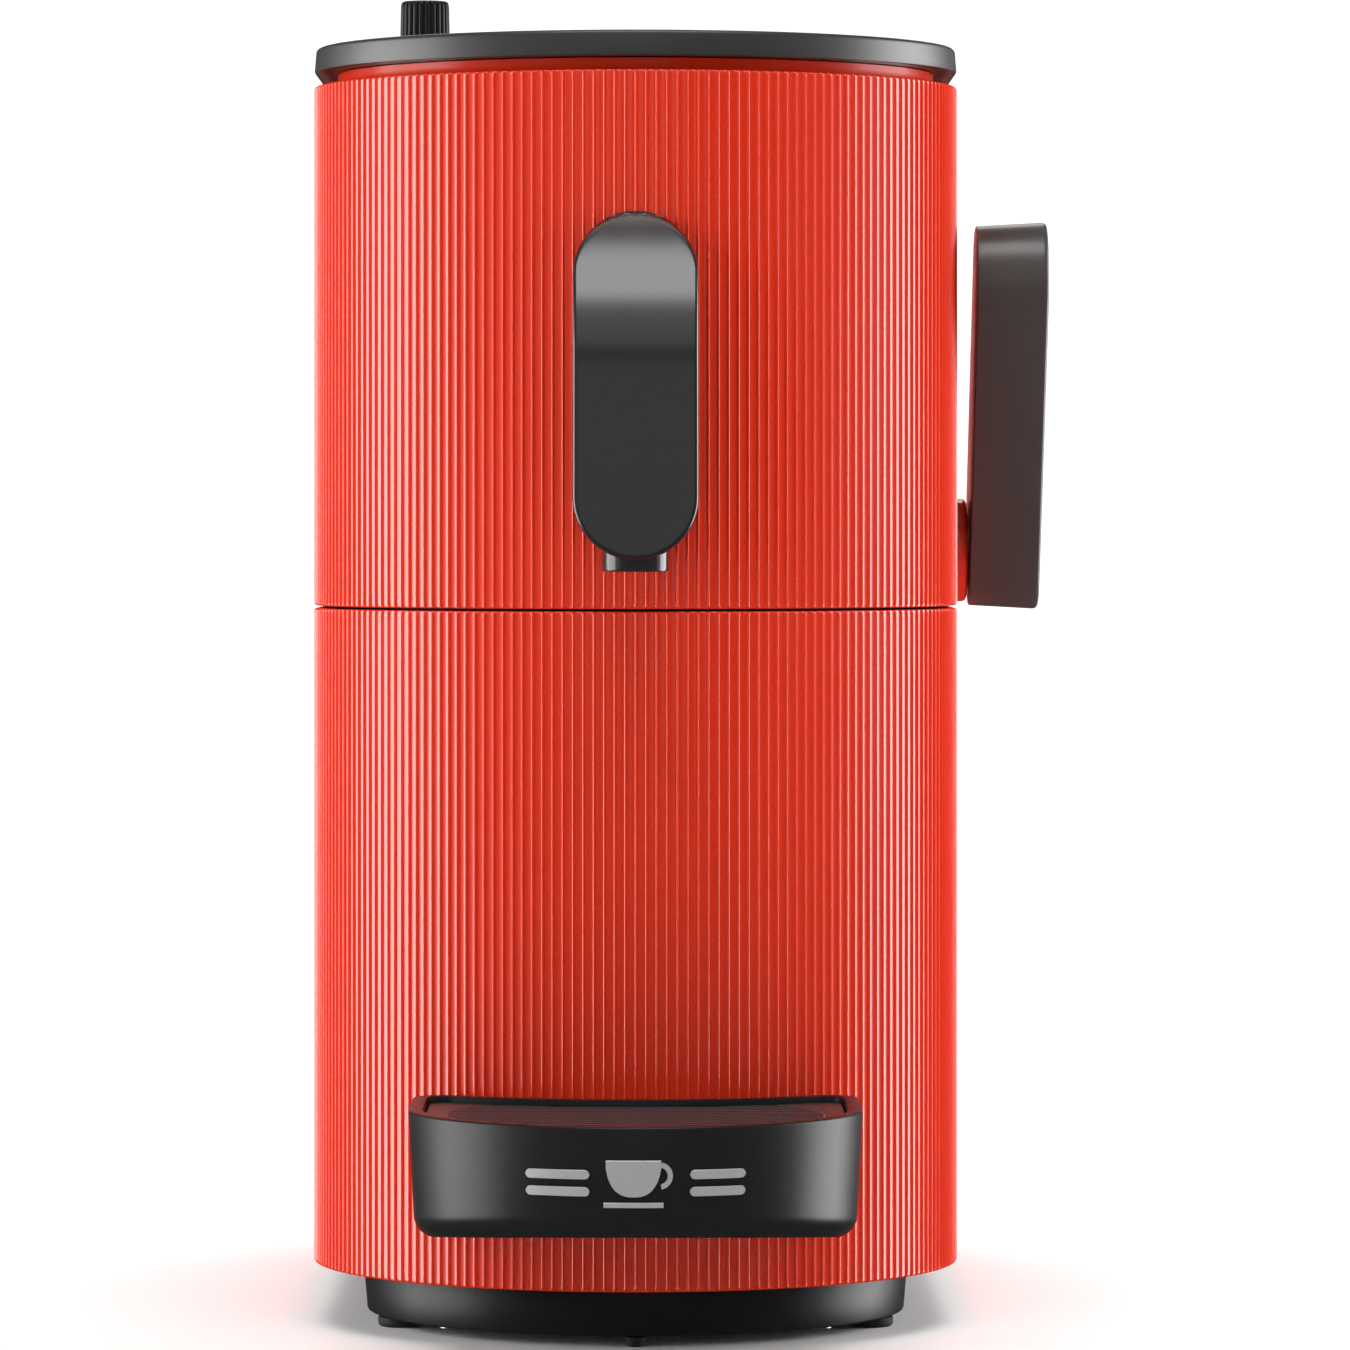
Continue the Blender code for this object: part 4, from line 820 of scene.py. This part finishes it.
def make_base():
    """The plinth, its feet and the screws in its underside."""
    low, high = level("base_plinth", 0), level("base_plinth", 1)
    profile = [(68.2, low), (68.6, low + 0.15), (68.8, low + 0.6), (69.7, high - 0.5), (69.5, high),
               (67.1, high), (67.1, 8.0)]
    plinth = skin("plinth", [at(z, stadium_plan(r)) for r, z in profile])
    piece(plinth, "black_satin", "machine", "base_plinth")
    foot = [(5.0, 0.0), (5.6, 0.12), (6.0, 0.45), (6.2, 0.9), (6.2, 2.4)]
    for end, y in (("front", -20.0), ("rear", BODY_LENGTH + 20.0)):
        for side, x in (("left", -59.2), ("right", 59.2)):
            pad = turned(f"pad_{end}_{side}", foot, (x, y, 0), segments=48)
            piece(pad, "rubber", "machine", f"foot_{end}_{side}")
    stub = [(1.7, 0.0), (2.1, 0.15), (2.3, 0.5), (2.6, 2.4)]
    piece(turned("pad_front_centre", stub, (0, -66.0, 0), segments=32), "rubber", "machine",
          "foot_front_center")
    screws = [(side * x, y) for x, y in ((46, -44), (50, 80), (46, 205)) for side in (-1, 1)]
    for number, (x, y) in enumerate(screws):
        make_screw(f"screw_{number}", x, y, low)


def make_screw(name, x, y, top):
    """A pan-head screw with a cross recess, under the plinth."""
    head = [(3.2, top), (3.2, top - 0.35), (2.8, top - 0.75), (1.8, top - 0.95), (0.3, top - 1.0)]
    screw = turned(name, head, (x, y, 0), segments=32)
    reach, half, deep = 1.7, 0.35, (top - 1.5, top - 0.45)
    cut(screw, box("cut_a", (x - reach, x + reach), (y - half, y + half), deep),
        box("cut_b", (x - half, x + half), (y - reach, y + reach), deep))
    piece(screw, "steel", "machine")


def make_back():
    """The panel low on the back, with the mains inlet and the case that the switch rocks in."""
    through = (220.0, 245.0)
    panel = rounded_box("panel", (-30.5, 30.5), (231.5, 234.0), (26.5, 53.5), 3.0, "Y")
    cut(panel, rounded_box("cut_inlet", (-26.4, 2.4), through, (29.6, 50.4), 2.5, "Y"),
        rounded_box("cut_switch", (9.2, 22.8), through, (29.0, 51.0), 1.0, "Y"))
    piece(bevel(panel, 0.35), "black_satin", "machine", "rear_panel")
    inlet = rounded_box("inlet", (-26.0, 2.0), (214.0, 237.6), (30.0, 50.0), 2.2, "Y")
    cut(inlet, rounded_box("cut_well", (-23.0, -1.0), (222.0, 245.0), (33.0, 47.0), 1.6, "Y"))
    piece(bevel(inlet, 0.4), "black_gloss", "machine", "power_inlet")
    for number, (x, z) in enumerate(((-19.0, 38.5), (-12.0, 42.0), (-5.0, 38.5))):
        blade_x, blade_z = (x - 1, x + 1), (z - 2, z + 2)
        pin = rounded_box(f"inlet_pin_{number}", blade_x, (221.0, 233.0), blade_z, 0.4, "Y")
        piece(bevel(pin, 0.3), "bright_metal", "machine", "power_inlet")
    case = rounded_box("switch_case", (9.5, 22.5), (212.0, 226.0), (31.0, 49.0), 0.8, "Y")
    piece(bevel(case, 0.3), "black_satin", "machine", "power_inlet")


def make_rocker():
    """The switch's rocker, from its dished side view, tilted one way at rest."""
    pivot_y, pivot_z, tilt = 233.0, 40.0, math.radians(8.0)
    profile = [(4.5, -9.2), (3.9, -5.0), (3.2, -1.6), (3.0, 0.0), (3.2, 1.6), (3.9, 5.0),
               (4.5, 9.2), (-3.0, 8.0), (-5.0, 0.0), (-3.0, -8.0)]
    outline = [(pivot_y + y * math.cos(tilt) - z * math.sin(tilt),
                pivot_z + y * math.sin(tilt) + z * math.cos(tilt)) for y, z in profile]
    rocker = prism("rocker", outline, 9.6, 22.4, "X")
    piece(bevel(rocker, 0.35), "black_gloss", "rocker", "power_rocker")


def make_bin():
    """The bin for used balls, open at the top, with a rolled rim."""
    profile = [(3.2, 20.9), (2.2, 21.1), (1.6, 21.7), (0.1, 118.6), (0.0, 119.4), (0.3, 119.9),
               (0.9, 120.0), (1.5, 119.9), (1.9, 119.5), (2.0, 118.6), (3.5, 24.5), (4.2, 23.4),
               (5.2, 23.1)]
    waste = skin("bin", [at(z, bin_plan(i)) for i, z in profile])
    piece(waste, "inner_plastic", "bin", "used_ball_bin")


# --- carried CAD nodes --------------------------------------------------------------------------

CARRIED = {
    "steel": ("floor_plate", "group_frame", "lever_shaft", "lever_sector_gear", "carriage_rack",
              "selector_shaft", "pump_bracket", "tray_keeper_strip", "lid_hinge_pin"),
    "bright_metal": ("guide_rod_left", "guide_rod_right"),
    "inner_plastic": ("bulkhead", "mid_deck", "ball_chute", "brew_head", "brew_carriage", "water_pump",
                      "flow_meter"),
    "black_gloss": ("ball_shutter",),
    "black_satin": ("tank_valve", "tray_magnet_plate"),
    "rubber": ("piston_seal", "tank_socket"),
    "silicone": ("outlet_pipe", "suction_hose", "pressure_hose", "hot_water_hose"),
    "aluminium": ("thermoblock", "brew_piston"),
    "brass": ("lever_bush",),
    "board": ("control_board",),
}


def dress_carried_nodes():
    """Materials for the inner nodes whose CAD shape stays, with their sharp edges just broken."""
    for slot, names in CARRIED.items():
        for name in names:
            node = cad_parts[name]
            node.data.materials.clear()
            node.data.materials.append(LOOKS[slot])
            weld = node.modifiers.new("weld", "WELD")
            weld.merge_threshold = 0.00001
            edges = node.modifiers.new("edges", "BEVEL")
            edges.width = 0.25 * MM
            edges.segments = 2
            edges.limit_method = "ANGLE"
            edges.angle_limit = math.radians(50.0)


# --- stage, light and camera --------------------------------------------------------------------

def stage_sheet(name, profile, bounces):
    """A matt sheet of the set, from (y, z) points of its section in metres. It is left out of
    reflections, so that gloss on the machine shows the softboxes alone; one that doesn't bounce
    throws no light on the machine at all."""
    half_width, grey = 6.0, 0.9
    points = [(x, y, z) for y, z in profile for x in (-half_width, half_width)]
    faces = [(2 * i, 2 * i + 1, 2 * i + 3, 2 * i + 2) for i in range(len(profile) - 1)]
    data = bpy.data.meshes.new(name)
    data.from_pydata(points, [], faces)
    data.shade_smooth()
    sheet = bpy.data.objects.new(name, data)
    bpy.context.scene.collection.objects.link(sheet)
    sheet.visible_glossy = False
    sheet.visible_diffuse = bounces
    mat = bpy.data.materials.new(name)
    mat.use_nodes = True
    shader = mat.node_tree.nodes["Principled BSDF"]
    shader.inputs["Base Color"].default_value = (grey, grey, grey, 1.0)
    shader.inputs["Roughness"].default_value = 0.9
    shader.inputs["Specular IOR Level"].default_value = 0.0
    data.materials.append(mat)


def make_set():
    """A pale floor that rises into a backdrop well behind the machine."""
    near, split, far, rise = -4.0, 0.9, 3.0, 1.0
    curve = [(far + rise * math.sin(t), rise * (1 - math.cos(t)))
             for t in (math.pi / 2 * i / 16 for i in range(17))]
    stage_sheet("floor", [(near, 0.0), (split, 0.0)], True)
    stage_sheet("backdrop", [(split, 0.0), *curve, (far + rise, 5.0)], False)


def make_light(name, at_point, towards, size, power, glossy=True):
    """A rectangular softbox, width by height in metres, facing a point."""
    lamp = bpy.data.lights.new(name, "AREA")
    lamp.shape = "RECTANGLE"
    lamp.size, lamp.size_y = size
    lamp.energy = power
    obj = bpy.data.objects.new(name, lamp)
    bpy.context.scene.collection.objects.link(obj)
    obj.location = at_point
    obj.rotation_euler = (Vector(towards) - Vector(at_point)).to_track_quat("-Z", "Y").to_euler()
    obj.visible_glossy = glossy


def make_lights():
    middle = (CENTRE.x, CENTRE.y, 0.18)
    level_middle = (CENTRE.x, CENTRE.y, 0.2)
    make_light("softbox_left", (-1.25, 0.02, 0.2), level_middle, (0.95, 1.1), 18.0)
    make_light("softbox_left_wide", (-1.3, 0.02, 0.2), level_middle, (2.2, 1.1), 5.0)
    make_light("softbox_right", (1.15, 0.35, 0.2), level_middle, (0.75, 1.1), 17.0)
    make_light("softbox_right_wide", (1.2, 0.36, 0.2), level_middle, (1.5, 1.1), 5.0)
    make_light("softbox_above", (0.0, -0.47, 1.5), (0.0, -0.14, 0.3), (1.1, 0.62), 10.5)
    make_light("panel_front", (0.0, -2.8, 0.7), middle, (1.3, 1.3), 2.1)
    make_light("fill_left", (-1.0, -1.3, 0.5), middle, (0.8, 0.8), 5.5, glossy=False)
    make_light("fill_right", (1.25, -0.6, 0.5), middle, (0.7, 0.8), 4.8, glossy=False)
    make_light("panel_high", (0.0, -1.13, 1.48), middle, (1.1, 1.04), 2.5)
    make_light("edge_left", (-1.0, 1.0, 0.3), middle, (0.4, 1.2), 5.0, glossy=False)
    make_light("edge_right", (1.0, 1.0, 0.3), middle, (0.4, 1.2), 6.0, glossy=False)
    make_light("softbox_rear", (0.0, 1.6, 1.2), middle, (0.9, 0.7), 4.0)
    make_light("backdrop_light", (0.0, 1.2, 2.6), (0.0, 3.9, 0.4), (3.0, 1.0), 160.0, glossy=False)
    world = bpy.data.worlds.new("studio")
    bpy.context.scene.world = world
    world.use_nodes = True
    around = world.node_tree.nodes["Background"]
    around.inputs["Color"].default_value = (1.0, 1.0, 1.0, 1.0)
    around.inputs["Strength"].default_value = 0.05


def make_camera():
    data = bpy.data.cameras.new("camera")
    data.sensor_width = 36.0
    data.lens = 193.8
    data.shift_x, data.shift_y = 0.0292, -0.1176
    data.clip_end = 50.0
    camera = bpy.data.objects.new("camera", data)
    bpy.context.scene.collection.objects.link(camera)
    camera.location = CENTRE + Vector((0.0, -1866.0, 205.6)) * MM
    camera.rotation_euler = (math.pi / 2, 0.0, 0.0)
    bpy.context.scene.camera = camera


make_camera()
make_set()
make_lights()
make_upper_shell()
make_lower_shells()
make_drawer_floor()
make_tank_base()
make_tank()
make_collar()
make_top_cover()
make_lid()
make_funnel()
make_knob()
make_button_and_lens()
make_spout()
make_lever()
make_tray()
make_emblem()
make_grid()
make_base()
make_back()
make_rocker()
make_bin()
dress_carried_nodes()
bpy.context.scene.view_settings.view_transform = "Standard"
